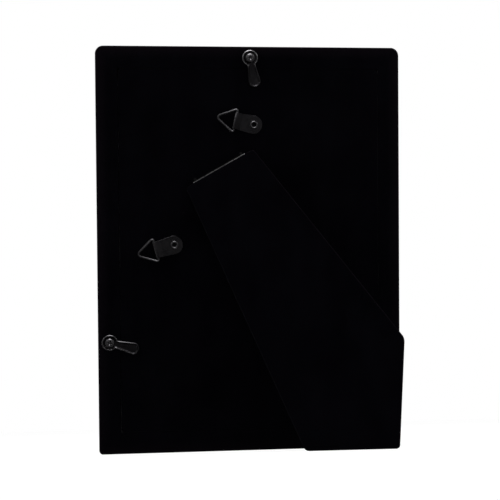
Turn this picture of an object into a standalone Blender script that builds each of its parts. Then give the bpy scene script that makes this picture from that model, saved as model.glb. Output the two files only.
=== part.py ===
"""Metal photo frame for one 13 x 18 cm print, standing on its easel strut.

The model is built on its own back face: X runs to the right as seen from
behind, Y runs up from the bottom edge and Z points out of the back. The
empty back_face carries that space and leans with the frame, so the strut
foot and the bottom edge both stand on the floor at world Z = 0.
All sizes are in metres and all angles in radians.
"""

import math

import bmesh
import bpy
from mathutils import Matrix, Vector

# Print and rim, which set the outer size
PRINT_WIDTH = 0.13
PRINT_HEIGHT = 0.18
RIM_WIDTH = 0.011
POCKET_PLAY = 0.0005
TOP_CORNER_RADIUS = 0.004
BOTTOM_CORNER_RADIUS = 0.002
LEAST_CORNER = 0.0003
RAIL_CUT_SHARE = 0.7

# Sheets and boards, from the back face to the glass
SEAT_GAP = 0.0003
VELVET = 0.0005
PANEL_BOARD = 0.003
BACKING_CARD = 0.002
PRINT_SHEET = 0.0003
GLASS = 0.002
PANEL_PLAY = 0.0004
PANEL_CORNER = 0.0012

# Drawn metal front
METAL_SHEET = 0.0006
SKIRT_DEPTH = 0.0052
FACE_RISE = 0.0033
FACE_EDGE_RADIUS = 0.0012
FACE_QUIRK = 0.0007
CUSHION_RISE = 0.0012
BEAD_RADIUS = 0.0008
SIGHT_LIP = 0.0018
RAIL_HEADROOM = 0.0004

# Velvet round the rim
VELVET_FOLD_RADIUS = 0.0012

# Pose on the table
FRAME_LEAN = math.radians(9.5)
STRUT_OPENING = math.radians(20.0)

# Strut hinge on the back
HINGE_ACROSS_SHARE = -0.0996
HINGE_UP_SHARE = 0.6978
HINGE_TILT = math.radians(29.3)
HINGE_SHEET = 0.0005
PIN_RADIUS = 0.00055
PIN_PLAY = 0.0002
PIN_HEAD_RADIUS = 0.001
PIN_HEAD_THICKNESS = 0.0005
BARREL_SHARE = 0.72
KNUCKLE_GAP = 0.0003
LEAF_LENGTH = 0.013
LEAF_CORNER = 0.002
STOP_TAB_WIDTH = 0.0011
STOP_TAB_REACH = 0.0011
STOP_TAB_INSET = 0.0002
CURL_ARC = math.radians(245.0)

# Rivets that hold the leaves
RIVET_RADIUS = 0.0008
RIVET_HEAD_RADIUS = 0.0014
RIVET_TAIL_RADIUS = 0.0015
RIVET_TAIL_THICKNESS = 0.0004
RIVET_SPREAD_SHARE = 0.31
RIVET_DEPTH_SHARE = 0.6

# Strut board and its velvet
STRUT_TOP_WIDTH = 0.0387
STRUT_TOP_DROP = 0.0005
STRUT_STANDOFF = 0.0005
STRUT_BOARD = 0.0024
STRUT_CORNER = 0.0016
SHOULDER_INSET = 0.00435
SHOULDER_HEIGHT = 0.0527
TOE_INSET = 0.0091
TOE_HEIGHT = 0.0008
FOOT_WIDTH = 0.044

# Turn buttons and their screws
BUTTON_HEAD_RADIUS = 0.00415
BUTTON_NECK_WIDTH = 0.0048
BUTTON_NECK_REACH = 0.0052
BUTTON_NECK_RADIUS = 0.0028
BUTTON_TONGUE_RADIUS = 0.0032
BUTTON_TIP_ROUNDNESS = 0.82
BUTTON_REACH = 0.015
BUTTON_SHEET = 0.0006
BUTTON_RIM_RISE = 0.0006
BUTTON_RIM_WIDTH = 0.0011
BUTTON_INSET = 0.0058
TOP_BUTTON_ACROSS = 0.0004
SIDE_BUTTON_SHARE = 0.2757
TOP_BUTTON_TURN = math.radians(10.5)
SIDE_BUTTON_TURN = math.radians(75.0)
SCREW_HEAD_RADIUS = 0.00245
SCREW_HEAD_HEIGHT = 0.0013
SCREW_HEAD_ROUNDNESS = 0.5
SCREW_RADIUS = 0.0013
SCREW_LENGTH = 0.0075
SCREW_POINT = 0.002
CROSS_LENGTH = 0.0027
CROSS_WIDTH = 0.0006
CROSS_DEPTH = 0.0009

# Hangers: folded strap, hollow eyelet and wire ring
TOP_HANGER_ACROSS_SHARE = 0.0134
TOP_HANGER_UP_SHARE = 0.8069
SIDE_HANGER_ACROSS_SHARE = -0.2501
SIDE_HANGER_UP_SHARE = 0.5134
TOP_HANGER_TURN = math.radians(180.0 - 12.5)
SIDE_HANGER_TURN = math.radians(180.0 + 15.0)
STRAP_SHEET = 0.0004
STRAP_SLIT = 0.00015
STRAP_WIDTH = 0.0092
STRAP_FOLD_WIDTH = 0.0082
STRAP_TAIL = 0.0042
STRAP_CURL_ARC = math.radians(216.0)
STRAP_RETURN_SHARE = 2.6
EYELET_TO_WIRE = 0.0094
WIRE_RADIUS = 0.0006
WIRE_PLAY = 0.00015
WIRE_BUTT_GAP = 0.0005
RING_BASE = 0.0122
RING_POINT_REACH = 0.0103
RING_POINT_RADIUS = 0.0016
RING_CORNER_RADIUS = 0.0009
EYELET_RADIUS = 0.0013
EYELET_BORE = 0.0009
EYELET_FLANGE_RADIUS = 0.002
EYELET_FLANGE_THICKNESS = 0.00045
EYELET_SEAT = 0.0002

# Shared clearances
HOLE_PLAY = 0.0003
CUT_OVERRUN = 0.0006

# Facets and angles
QUARTER = math.pi / 2
CORNER_STEPS = 4
FOLD_STEPS = 3
CUSHION_STEPS = 8
ROUND_SIDES = 24
SMALL_SIDES = 16
CURL_STEPS = 12
WIRE_SIDES = 10
KNUCKLE_COUNT = 5
ROUND_BEVEL = 0.5
SMOOTH_ANGLE = math.radians(40.0)

# Sizes that follow from the ones above
OUTER_WIDTH = PRINT_WIDTH + 2 * (POCKET_PLAY + RIM_WIDTH)
OUTER_HEIGHT = PRINT_HEIGHT + 2 * (POCKET_PLAY + RIM_WIDTH)
PANEL_FACE_DEPTH = VELVET + SEAT_GAP
CARD_FACE_DEPTH = PANEL_FACE_DEPTH + PANEL_BOARD + SEAT_GAP
PRINT_FACE_DEPTH = CARD_FACE_DEPTH + BACKING_CARD + SEAT_GAP
GLASS_FACE_DEPTH = PRINT_FACE_DEPTH + PRINT_SHEET + SEAT_GAP
LIP_FACE_DEPTH = GLASS_FACE_DEPTH + GLASS + SEAT_GAP
PANEL_FRONT_DEPTH = CARD_FACE_DEPTH - SEAT_GAP
FRAME_DEPTH = LIP_FACE_DEPTH + FACE_RISE
RAIL_INSET = METAL_SHEET + SEAT_GAP
BARREL_LENGTH = STRUT_TOP_WIDTH * BARREL_SHARE
KNUCKLE_RADIUS = PIN_RADIUS + PIN_PLAY + HINGE_SHEET
LEAF_START = KNUCKLE_RADIUS + SEAT_GAP
LEAF_END = LEAF_START + LEAF_LENGTH
PIN_LENGTH = BARREL_LENGTH + 2 * (SEAT_GAP + PIN_HEAD_THICKNESS)
HINGE_CLEAR_WIDTH = PIN_LENGTH + 2 * SEAT_GAP
REBATE_DEPTH = KNUCKLE_RADIUS + SEAT_GAP
STRUT_BOARD_TOP = STRUT_STANDOFF + STRUT_BOARD
STRUT_FACE = STRUT_BOARD_TOP + SEAT_GAP + VELVET
BUTTON_FLOOR = SEAT_GAP + BUTTON_SHEET
BUTTON_RIM_TOP = BUTTON_FLOOR + BUTTON_RIM_RISE
SCREW_HEAD_SEAT = BUTTON_FLOOR + SEAT_GAP
STRAP_TOP = SEAT_GAP + 2 * STRAP_SHEET + STRAP_SLIT
STRAP_CURL_RADIUS = WIRE_RADIUS + WIRE_PLAY + STRAP_SHEET
WIRE_HEIGHT = SEAT_GAP + STRAP_CURL_RADIUS
RING_APEX_HALF_ANGLE = math.atan2(RING_BASE / 2, RING_POINT_REACH)
RING_REACH = RING_POINT_REACH - RING_POINT_RADIUS * (1 / math.sin(RING_APEX_HALF_ANGLE) - 1)
RING_DROOP = math.asin((WIRE_HEIGHT - WIRE_RADIUS - SEAT_GAP) / RING_REACH)


# Materials

def finish(name, colour, roughness, metallic=0.0):
    """Return a Principled BSDF material in one flat finish."""
    material = bpy.data.materials.new(name)
    material.use_nodes = True
    shader = material.node_tree.nodes["Principled BSDF"]
    shader.inputs["Base Color"].default_value = (*colour, 1.0)
    shader.inputs["Roughness"].default_value = roughness
    shader.inputs["Metallic"].default_value = metallic
    material.diffuse_color = (*colour, 1.0)
    return material


def make_finishes():
    """Return the finishes of the frame, by name."""
    finishes = {
        "silver": finish("satin_silver", (0.72, 0.71, 0.69), 0.28, 1.0),
        "gunmetal": finish("dark_gunmetal", (0.03, 0.029, 0.031), 0.38, 1.0),
        "steel": finish("grey_steel", (0.2, 0.2, 0.2), 0.32, 1.0),
        "velvet": finish("black_velvet", (0.006, 0.005, 0.007), 0.95),
        "fibreboard": finish("black_fibreboard", (0.02, 0.018, 0.017), 0.85),
        "card": finish("grey_card", (0.42, 0.4, 0.37), 0.9),
        "paper": finish("plain_paper", (0.86, 0.85, 0.82), 0.75),
        "glass": finish("clear_glass", (0.85, 0.92, 0.9), 0.03),
    }
    glass = finishes["glass"].node_tree.nodes["Principled BSDF"]
    glass.inputs["Transmission Weight"].default_value = 1.0
    return finishes


# Outlines

def arc(centre, radius, start, end, steps):
    """Return the points of an arc from one angle to another, ends included."""
    turn = (end - start) / steps
    return [
        (centre[0] + radius * math.cos(start + turn * i), centre[1] + radius * math.sin(start + turn * i))
        for i in range(steps + 1)
    ]


def rounded_rectangle(half_width, bottom, top, low_radius, high_radius):
    """Return a rectangle about X = 0 with two lower and two upper round corners, counterclockwise."""
    corners = [
        (half_width - low_radius, bottom + low_radius, low_radius, -QUARTER),
        (half_width - high_radius, top - high_radius, high_radius, 0.0),
        (high_radius - half_width, top - high_radius, high_radius, QUARTER),
        (low_radius - half_width, bottom + low_radius, low_radius, math.pi),
    ]
    points = []
    for x, y, radius, start in corners:
        points += arc((x, y), radius, start, start + QUARTER, CORNER_STEPS)
    return points


def path_sides(path):
    """Return the mitred sideways direction at each point of an open path, one unit off its steps."""
    steps = [(Vector(after) - Vector(here)).normalized() for here, after in zip(path, path[1:])]
    sides = []
    for before, after in zip([steps[0]] + steps, steps + [steps[-1]]):
        along = (before + after).normalized()
        sides.append(Vector((-along.y, along.x)) / along.dot(before))
    return sides


def thick_path(path, thickness):
    """Return the outline of a strip of one thickness that follows a path."""
    left, right = [], []
    for here, side in zip(path, path_sides(path)):
        left.append(tuple(Vector(here) + side * (thickness / 2)))
        right.append(tuple(Vector(here) - side * (thickness / 2)))
    return left + right[::-1]


def round_corner(before, corner, after, radius, steps):
    """Return the arc that rounds one corner of a path."""
    to_before = (Vector(before) - Vector(corner)).normalized()
    to_after = (Vector(after) - Vector(corner)).normalized()
    half = to_before.angle(to_after) / 2
    centre = Vector(corner) + (to_before + to_after).normalized() * (radius / math.sin(half))
    start = Vector(corner) + to_before * (radius / math.tan(half)) - centre
    end = Vector(corner) + to_after * (radius / math.tan(half)) - centre
    first = math.atan2(start.y, start.x)
    turn = math.remainder(math.atan2(end.y, end.x) - first, math.tau)
    return arc(tuple(centre), radius, first, first + turn, steps)


# Solids

def loft(loops, close=False):
    """Return a mesh through loops of equal length, capped or closed on itself."""
    bm = bmesh.new()
    rings = [[bm.verts.new(point) for point in loop] for loop in loops]
    count = len(rings[0])
    pairs = list(zip(rings, rings[1:]))
    if close:
        pairs.append((rings[-1], rings[0]))
    else:
        bm.faces.new(rings[0][::-1])
        bm.faces.new(rings[-1])
    for lower, upper in pairs:
        for i in range(count):
            j = (i + 1) % count
            bm.faces.new((lower[i], lower[j], upper[j], upper[i]))
    bmesh.ops.recalc_face_normals(bm, faces=bm.faces)
    return bm


def prism(outline, low, high):
    """Return an outline in X and Y, extruded from one height to another."""
    return loft([[(x, y, z) for x, y in outline] for z in (low, high)])


def side_prism(outline, start, end):
    """Return an outline in Y and Z, extruded along X."""
    return loft([[(x, y, z) for y, z in outline] for x in (start, end)])


def box(low, high):
    """Return a box between two opposite corners."""
    outline = [(low[0], low[1]), (high[0], low[1]), (high[0], high[1]), (low[0], high[1])]
    return prism(outline, low[2], high[2])


def turned(profile, sides, at=(0.0, 0.0)):
    """Return a profile of radius and height turned about the Z axis.

    A profile that starts and ends on the axis gives a solid, any other
    profile is a closed outline and gives a ring with a bore.
    """
    bm = bmesh.new()
    solid = profile[0][0] == 0 and profile[-1][0] == 0
    body = profile[1:-1] if solid else profile
    rings = []
    for radius, height in body:
        circle = arc(at, radius, 0.0, math.tau, sides)[:-1]
        rings.append([bm.verts.new((x, y, height)) for x, y in circle])
    pairs = list(zip(rings, rings[1:]))
    if solid:
        bm.faces.new(rings[0])
        bm.faces.new(rings[-1])
    else:
        pairs.append((rings[-1], rings[0]))
    for lower, upper in pairs:
        for i in range(sides):
            j = (i + 1) % sides
            bm.faces.new((lower[i], lower[j], upper[j], upper[i]))
    bmesh.ops.recalc_face_normals(bm, faces=bm.faces)
    return bm


def cylinder(radius, low, high, sides, at=(0.0, 0.0)):
    """Return a plain cylinder along Z."""
    return turned([(0.0, low), (radius, low), (radius, high), (0.0, high)], sides, at)


def framed_ring(profile):
    """Return a profile of inset and depth, led round the outline of the frame."""
    loops = []
    for inset, depth in profile:
        radii = [max(own - inset, LEAST_CORNER) for own in (BOTTOM_CORNER_RADIUS, TOP_CORNER_RADIUS)]
        outline = rounded_rectangle(OUTER_WIDTH / 2 - inset, inset, OUTER_HEIGHT - inset, *radii)
        loops.append([(x, y, -depth) for x, y in outline])
    return loft(loops, close=True)


def merged(*meshes):
    """Return several meshes in one, as separate shells."""
    joined = bmesh.new()
    for bm in meshes:
        piece = bpy.data.meshes.new("piece")
        bm.to_mesh(piece)
        bm.free()
        joined.from_mesh(piece)
        bpy.data.meshes.remove(piece)
    return joined


def mesh_object(name, bm, parent):
    """Return a new object that holds a mesh, carried by its parent."""
    mesh = bpy.data.meshes.new(name)
    bm.to_mesh(mesh)
    bm.free()
    thing = bpy.data.objects.new(name, mesh)
    bpy.context.collection.objects.link(thing)
    thing.parent = parent
    return thing


def piece_object(name, bm, parent, material):
    """Return one piece of the frame, shaded smooth where it is round."""
    thing = mesh_object(name, bm, parent)
    thing.data.materials.append(material)
    thing.data.shade_smooth()
    thing.data.set_sharp_from_angle(angle=SMOOTH_ANGLE)
    return thing


def combine(thing, operation, name, bm):
    """Cut, join or keep the overlap of an object with a hidden tool body."""
    tool = mesh_object(name, bm, thing.parent)
    tool.matrix_local = thing.matrix_local
    tool.hide_render = True
    tool.display_type = "WIRE"
    modifier = thing.modifiers.new(name, "BOOLEAN")
    modifier.operation = operation
    modifier.solver = "EXACT"
    modifier.object = tool
    return thing


def empty(name, parent, location=(0.0, 0.0, 0.0), rotation=(0.0, 0.0, 0.0)):
    """Return an empty that carries other objects."""
    thing = bpy.data.objects.new(name, None)
    bpy.context.collection.objects.link(thing)
    thing.parent = parent
    thing.location = location
    thing.rotation_euler = rotation
    return thing


# Places on the back

def button_places():
    """Return each turn button's name, place and turn of its tongue from straight down."""
    side_height = OUTER_HEIGHT * SIDE_BUTTON_SHARE
    return [
        ("top", (TOP_BUTTON_ACROSS, OUTER_HEIGHT - BUTTON_INSET), TOP_BUTTON_TURN),
        ("left", (BUTTON_INSET - OUTER_WIDTH / 2, side_height), SIDE_BUTTON_TURN),
        ("right", (OUTER_WIDTH / 2 - BUTTON_INSET, side_height), -SIDE_BUTTON_TURN),
    ]


def hanger_places():
    """Return each hanger's name, eyelet place and turn of its strap."""
    return [
        (
            "top",
            (OUTER_WIDTH * TOP_HANGER_ACROSS_SHARE, OUTER_HEIGHT * TOP_HANGER_UP_SHARE),
            TOP_HANGER_TURN,
        ),
        (
            "side",
            (OUTER_WIDTH * SIDE_HANGER_ACROSS_SHARE, OUTER_HEIGHT * SIDE_HANGER_UP_SHARE),
            SIDE_HANGER_TURN,
        ),
    ]


def hinge_place():
    """Return the middle of the hinge pin on the back face."""
    return OUTER_WIDTH * HINGE_ACROSS_SHARE, OUTER_HEIGHT * HINGE_UP_SHARE


def rivet_places(side):
    """Return the rivets of a leaf in the hinge's own X and Y; side is 1 above the pin and -1 below."""
    across = BARREL_LENGTH * RIVET_SPREAD_SHARE
    reach = LEAF_START + LEAF_LENGTH * RIVET_DEPTH_SHARE
    return [(-across, side * reach), (across, side * reach)]


# Rim: rails, velvet and metal front

def rail_outline(side):
    """Return one rail's mitred outline, its outer corners cut inside the rim's round ones.

    The side counts quarter turns from the bottom rail.
    """
    half_width, half_height = OUTER_WIDTH / 2, OUTER_HEIGHT / 2
    half_length, reach = (half_width, half_height) if side % 2 == 0 else (half_height, half_width)
    pull = SEAT_GAP / math.sqrt(2)
    outer, inner = RAIL_INSET, RIM_WIDTH
    low, high = [RAIL_CUT_SHARE * (own - outer) for own in (BOTTOM_CORNER_RADIUS, TOP_CORNER_RADIUS)]
    start, end = [(low, low), (low, high), (high, high), (high, low)][side]
    outline = [
        (outer + pull + start / 2 - half_length, outer + start / 2 - reach),
        (outer + pull + start - half_length, outer - reach),
        (half_length - outer - pull - end, outer - reach),
        (half_length - outer - pull - end / 2, outer + end / 2 - reach),
        (half_length - inner - pull, inner - reach),
        (inner + pull - half_length, inner - reach),
    ]
    turn = Matrix.Rotation(side * QUARTER, 2)
    return [tuple(turn @ Vector(point) + Vector((0.0, half_height))) for point in outline]


def build_rails(back, finishes):
    """Make the four mitred rails of fibreboard, with pilot holes for the screws."""
    front = LIP_FACE_DEPTH + METAL_SHEET + RAIL_HEADROOM
    rails = {}
    for side, name in enumerate(("bottom_rail", "right_rail", "top_rail", "left_rail")):
        bm = prism(rail_outline(side), -front, -PANEL_FACE_DEPTH)
        rails[name] = piece_object(name, bm, back, finishes["fibreboard"])
    for name, place, _ in button_places():
        hole = cylinder(
            SCREW_RADIUS + HOLE_PLAY, -SCREW_LENGTH - SEAT_GAP, CUT_OVERRUN, SMALL_SIDES, place
        )
        combine(rails[name + "_rail"], "DIFFERENCE", name + "_pilot_hole", hole)


def build_rim_velvet(back, finishes):
    """Make the velvet that covers the back of the rim and folds round its sides."""
    wall_end = FRAME_DEPTH - SKIRT_DEPTH - SEAT_GAP
    fold = VELVET_FOLD_RADIUS
    centre = (fold, fold)
    outer = arc(centre, fold, math.pi, 3 * QUARTER, FOLD_STEPS)
    inner = arc(centre, fold - VELVET, 3 * QUARTER, math.pi, FOLD_STEPS)
    profile = [(0.0, wall_end)] + outer + [(RIM_WIDTH, 0.0), (RIM_WIDTH, VELVET)]
    profile += inner + [(VELVET, wall_end)]
    velvet = piece_object("rim_velvet", framed_ring(profile), back, finishes["velvet"])
    holes = [
        cylinder(SCREW_RADIUS + HOLE_PLAY, -VELVET - CUT_OVERRUN, CUT_OVERRUN, SMALL_SIDES, place)
        for _, place, _ in button_places()
    ]
    combine(velvet, "DIFFERENCE", "rim_velvet_holes", merged(*holes))


def front_profile():
    """Return the section of the drawn metal front as points of inset and depth."""
    shoulder = FRAME_DEPTH - CUSHION_RISE
    skirt_end = FRAME_DEPTH - SKIRT_DEPTH
    sheet = METAL_SHEET
    lip_front = LIP_FACE_DEPTH + sheet
    sight_edge = RIM_WIDTH + POCKET_PLAY + SIGHT_LIP
    bead_centre = (sight_edge - SIGHT_LIP, shoulder - BEAD_RADIUS)
    edge_centre = (FACE_EDGE_RADIUS, shoulder - FACE_EDGE_RADIUS)
    cushion_start = FACE_EDGE_RADIUS + FACE_QUIRK
    cushion_end = bead_centre[0] - BEAD_RADIUS
    outer = [(0.0, skirt_end)] + arc(edge_centre, FACE_EDGE_RADIUS, math.pi, QUARTER, FOLD_STEPS)
    cushion = []
    for i in range(CUSHION_STEPS + 1):
        along = i / CUSHION_STEPS
        inset = cushion_start + (cushion_end - cushion_start) * along
        cushion.append((inset, shoulder + CUSHION_RISE * math.sin(math.pi * along)))
    bead = arc(bead_centre, BEAD_RADIUS, QUARTER, 0.0, FOLD_STEPS)
    lip = [(bead_centre[0] + BEAD_RADIUS, lip_front), (sight_edge, lip_front)]
    lip.append((sight_edge, LIP_FACE_DEPTH))
    under_lip = [(bead_centre[0], LIP_FACE_DEPTH), (bead_centre[0], shoulder - BEAD_RADIUS)]
    under = [(inset, depth - sheet) for inset, depth in reversed(cushion)]
    inner_edge = arc(edge_centre, FACE_EDGE_RADIUS - sheet, QUARTER, math.pi, FOLD_STEPS)
    return outer + cushion + bead + lip + under_lip + under + inner_edge + [(sheet, skirt_end)]


def build_front(back, finishes):
    """Make the drawn metal front with its skirt, cushion face, bead and sight lip."""
    piece_object("front_moulding", framed_ring(front_profile()), back, finishes["silver"])


# Glass, print and panel

def centred_sheet(width, height, face_depth, thickness, corner=METAL_SHEET):
    """Return a flat sheet about the middle of the frame, from its back face forward."""
    low, high = (OUTER_HEIGHT - height) / 2, (OUTER_HEIGHT + height) / 2
    outline = rounded_rectangle(width / 2, low, high, corner, corner)
    return prism(outline, -face_depth - thickness, -face_depth)


def build_contents(back, finishes):
    """Make the glass, the plain print and the backing card behind it."""
    sheets = [
        ("glass_pane", GLASS_FACE_DEPTH, GLASS, "glass"),
        ("print_insert", PRINT_FACE_DEPTH, PRINT_SHEET, "paper"),
        ("backing_card", CARD_FACE_DEPTH, BACKING_CARD, "card"),
    ]
    for name, depth, thickness, material in sheets:
        bm = centred_sheet(PRINT_WIDTH, PRINT_HEIGHT, depth, thickness)
        piece_object(name, bm, back, finishes[material])


def on_back(bm, place, turn=0.0):
    """Move a mesh from a fitting's own space to its place on the back face."""
    bmesh.ops.rotate(bm, verts=bm.verts, matrix=Matrix.Rotation(turn, 3, "Z"))
    bmesh.ops.translate(bm, verts=bm.verts, vec=(place[0], place[1], 0.0))
    return bm


def eyelet_holes(low, high):
    """Return the through holes of both eyelets."""
    radius = EYELET_RADIUS + HOLE_PLAY
    return [cylinder(radius, low, high, ROUND_SIDES, place) for _, place, _ in hanger_places()]


def panel_sinks():
    """Return the shallow sinks in the panel's front for the rivets' tails and the eyelets' flanges."""
    sinks = []
    for place in rivet_places(1):
        depth = RIVET_TAIL_THICKNESS + 2 * SEAT_GAP - PANEL_FRONT_DEPTH
        radius = RIVET_TAIL_RADIUS + HOLE_PLAY
        sink = cylinder(radius, -PANEL_FRONT_DEPTH - CUT_OVERRUN, depth, SMALL_SIDES, place)
        sinks.append(on_back(sink, hinge_place(), HINGE_TILT))
    for _, place, _ in hanger_places():
        depth = EYELET_FLANGE_THICKNESS + 2 * SEAT_GAP - PANEL_FRONT_DEPTH
        radius = EYELET_FLANGE_RADIUS + HOLE_PLAY
        sinks.append(cylinder(radius, -PANEL_FRONT_DEPTH - CUT_OVERRUN, depth, ROUND_SIDES, place))
    return sinks


def build_panel(back, finishes):
    """Make the lift-out back panel and its velvet, cut for the hinge and the eyelets."""
    width = PRINT_WIDTH + 2 * (POCKET_PLAY - PANEL_PLAY)
    height = PRINT_HEIGHT + 2 * (POCKET_PLAY - PANEL_PLAY)
    far = -PANEL_FRONT_DEPTH - CUT_OVERRUN
    half_pin = HINGE_CLEAR_WIDTH / 2
    sheet = centred_sheet(width, height, PANEL_FACE_DEPTH, PANEL_BOARD, PANEL_CORNER)
    board = piece_object("back_panel", sheet, back, finishes["fibreboard"])
    pocket = box((-half_pin, -LEAF_START, -REBATE_DEPTH), (half_pin, LEAF_END + SEAT_GAP, CUT_OVERRUN))
    combine(board, "DIFFERENCE", "panel_pocket", on_back(pocket, hinge_place(), HINGE_TILT))
    holes = eyelet_holes(far, CUT_OVERRUN)
    for place in rivet_places(1):
        hole = cylinder(RIVET_RADIUS + HOLE_PLAY, far, CUT_OVERRUN, SMALL_SIDES, place)
        holes.append(on_back(hole, hinge_place(), HINGE_TILT))
    combine(board, "DIFFERENCE", "panel_holes", merged(*holes))
    combine(board, "DIFFERENCE", "panel_sinks", merged(*panel_sinks()))
    sheet = centred_sheet(width, height, 0.0, VELVET, PANEL_CORNER)
    velvet = piece_object("back_velvet", sheet, back, finishes["velvet"])
    far = -VELVET - CUT_OVERRUN
    slot = box((-half_pin, -LEAF_START, far), (half_pin, LEAF_START, CUT_OVERRUN))
    cuts = [on_back(slot, hinge_place(), HINGE_TILT)] + eyelet_holes(far, CUT_OVERRUN)
    combine(velvet, "DIFFERENCE", "velvet_cuts", merged(*cuts))


# Strut hinge

def knuckle_spans(first):
    """Return the start and end of every second knuckle along the pin."""
    length = (BARREL_LENGTH - (KNUCKLE_COUNT - 1) * KNUCKLE_GAP) / KNUCKLE_COUNT
    spans = []
    for i in range(first, KNUCKLE_COUNT, 2):
        start = i * (length + KNUCKLE_GAP) - BARREL_LENGTH / 2
        spans.append((start, start + length))
    return spans


def curl_sections():
    """Return the outer and inner points of the sheet from the leaf round the pin, in Y and Z.

    The leaf lies towards +Y at the top of the knuckle, and the sheet curls
    over the far side of the pin and back under it.
    """
    centre = (0.0, 0.0)
    end = QUARTER + CURL_ARC
    outer = arc(centre, KNUCKLE_RADIUS, QUARTER, end, CURL_STEPS)
    inner = arc(centre, KNUCKLE_RADIUS - HINGE_SHEET, QUARTER, end, CURL_STEPS)
    return list(zip(outer, inner))


def mouth_corners(bm, middle, low):
    """Remove the plate's edge face at one knuckle and return its corners, top ones first."""
    place = Vector((middle, LEAF_START, low))
    mouth = min(bm.faces, key=lambda face: (face.calc_center_median() - place).length)
    corners = {}
    for vertex in mouth.verts:
        corners[(vertex.co.x > middle, vertex.co.z > low + HINGE_SHEET / 2)] = vertex
    bm.faces.remove(mouth)
    return [corners[key] for key in ((False, True), (True, True), (True, False), (False, False))]


def leaf_mesh(first_knuckle, side, lift):
    """Return one hinge leaf: a plate whose front edge carries on into its knuckles.

    Side is 1 for a leaf towards +Y, and lift is 1 for a leaf over the pin.
    """
    half, corner = BARREL_LENGTH / 2, LEAF_CORNER
    spans = knuckle_spans(first_knuckle)
    front = sorted({-half, half} | {x for span in spans for x in span})
    plate = [(x, LEAF_START) for x in front]
    plate += arc((half - corner, LEAF_END - corner), corner, 0.0, QUARTER, CORNER_STEPS)
    plate += arc((corner - half, LEAF_END - corner), corner, QUARTER, math.pi, CORNER_STEPS)
    low = KNUCKLE_RADIUS - HINGE_SHEET
    bm = prism(plate, low, KNUCKLE_RADIUS)
    for start, end in spans:
        section = mouth_corners(bm, (start + end) / 2, low)
        for outer, inner in curl_sections():
            places = [(start, outer), (end, outer), (end, inner), (start, inner)]
            following = [bm.verts.new((x, y, z)) for x, (y, z) in places]
            for i in range(len(section)):
                j = (i + 1) % len(section)
                bm.faces.new((section[i], section[j], following[j], following[i]))
            section = following
        bm.faces.new(section)
    bmesh.ops.scale(bm, verts=bm.verts, vec=(1.0, side, lift))
    bmesh.ops.recalc_face_normals(bm, faces=bm.faces)
    return bm


def stop_tabs():
    """Return the two stop tabs, which lie flat over the velvet when the strut is fully open."""
    inner = KNUCKLE_RADIUS - HINGE_SHEET / 2
    outer = KNUCKLE_RADIUS + STOP_TAB_REACH
    low, high = SEAT_GAP, SEAT_GAP + HINGE_SHEET
    closed = Matrix.Rotation(STRUT_OPENING, 2)
    corners = [(inner, low), (outer, low), (outer, high), (inner, high)]
    outline = [tuple(closed @ Vector(corner)) for corner in corners]
    end = BARREL_LENGTH / 2 - STOP_TAB_INSET
    return merged(
        side_prism(outline, -end, STOP_TAB_WIDTH - end), side_prism(outline, end - STOP_TAB_WIDTH, end)
    )


def rivet_profile(head, tail):
    """Return the section of a countersunk rivet between its head face and its tail face."""
    step = 1 if tail > head else -1
    return [
        (0.0, head),
        (RIVET_HEAD_RADIUS, head),
        (RIVET_RADIUS, head + step * HINGE_SHEET),
        (RIVET_RADIUS, tail - step * RIVET_TAIL_THICKNESS),
        (RIVET_TAIL_RADIUS, tail - step * RIVET_TAIL_THICKNESS),
        (RIVET_TAIL_RADIUS, tail),
        (0.0, tail),
    ]


def rivet_sink(face, step):
    """Return the section of a countersunk hole through a leaf, from its open face."""
    far = face + step * HINGE_SHEET
    return [
        (0.0, face - step * CUT_OVERRUN),
        (RIVET_HEAD_RADIUS + HOLE_PLAY, face - step * CUT_OVERRUN),
        (RIVET_HEAD_RADIUS + HOLE_PLAY, face),
        (RIVET_RADIUS + HOLE_PLAY, far),
        (RIVET_RADIUS + HOLE_PLAY, far + step * CUT_OVERRUN),
        (0.0, far + step * CUT_OVERRUN),
    ]


def build_hinge(hinge, swing, finishes):
    """Make both leaves, the headed pin and the rivets of each leaf."""
    fixed = piece_object("hinge_fixed_leaf", leaf_mesh(1, 1, -1), hinge, finishes["steel"])
    fixed_face = HINGE_SHEET - KNUCKLE_RADIUS
    fixed_tail = SEAT_GAP - PANEL_FRONT_DEPTH
    build_rivets("panel_rivet", fixed, rivet_places(1), fixed_face, fixed_tail, finishes)
    moving = piece_object("hinge_moving_leaf", leaf_mesh(0, -1, 1), swing, finishes["steel"])
    combine(moving, "UNION", "stop_tabs", stop_tabs())
    moving_face = KNUCKLE_RADIUS - HINGE_SHEET
    moving_tail = STRUT_BOARD_TOP - SEAT_GAP
    build_rivets("strut_rivet", moving, rivet_places(-1), moving_face, moving_tail, finishes)
    half = PIN_LENGTH / 2
    neck = half - PIN_HEAD_THICKNESS
    profile = [
        (0.0, -half),
        (PIN_HEAD_RADIUS, -half),
        (PIN_HEAD_RADIUS, -neck),
        (PIN_RADIUS, -neck),
        (PIN_RADIUS, neck),
        (PIN_HEAD_RADIUS, neck),
        (PIN_HEAD_RADIUS, half),
        (0.0, half),
    ]
    pin = turned(profile, SMALL_SIDES)
    bmesh.ops.rotate(pin, verts=pin.verts, matrix=Matrix.Rotation(QUARTER, 3, "Y"))
    piece_object("hinge_pin", pin, hinge, finishes["steel"])


def build_rivets(name, leaf, places, face, tail, finishes):
    """Sink the holes of one leaf and make the rivets that fill them."""
    step = 1 if tail > face else -1
    sinks = [turned(rivet_sink(face, step), SMALL_SIDES, place) for place in places]
    combine(leaf, "DIFFERENCE", leaf.name + "_sinks", merged(*sinks))
    for side, place in zip(("left", "right"), places):
        rivet = turned(rivet_profile(face, tail), SMALL_SIDES, place)
        piece_object(f"{name}_{side}", rivet, leaf.parent, finishes["steel"])


# Strut

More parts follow.
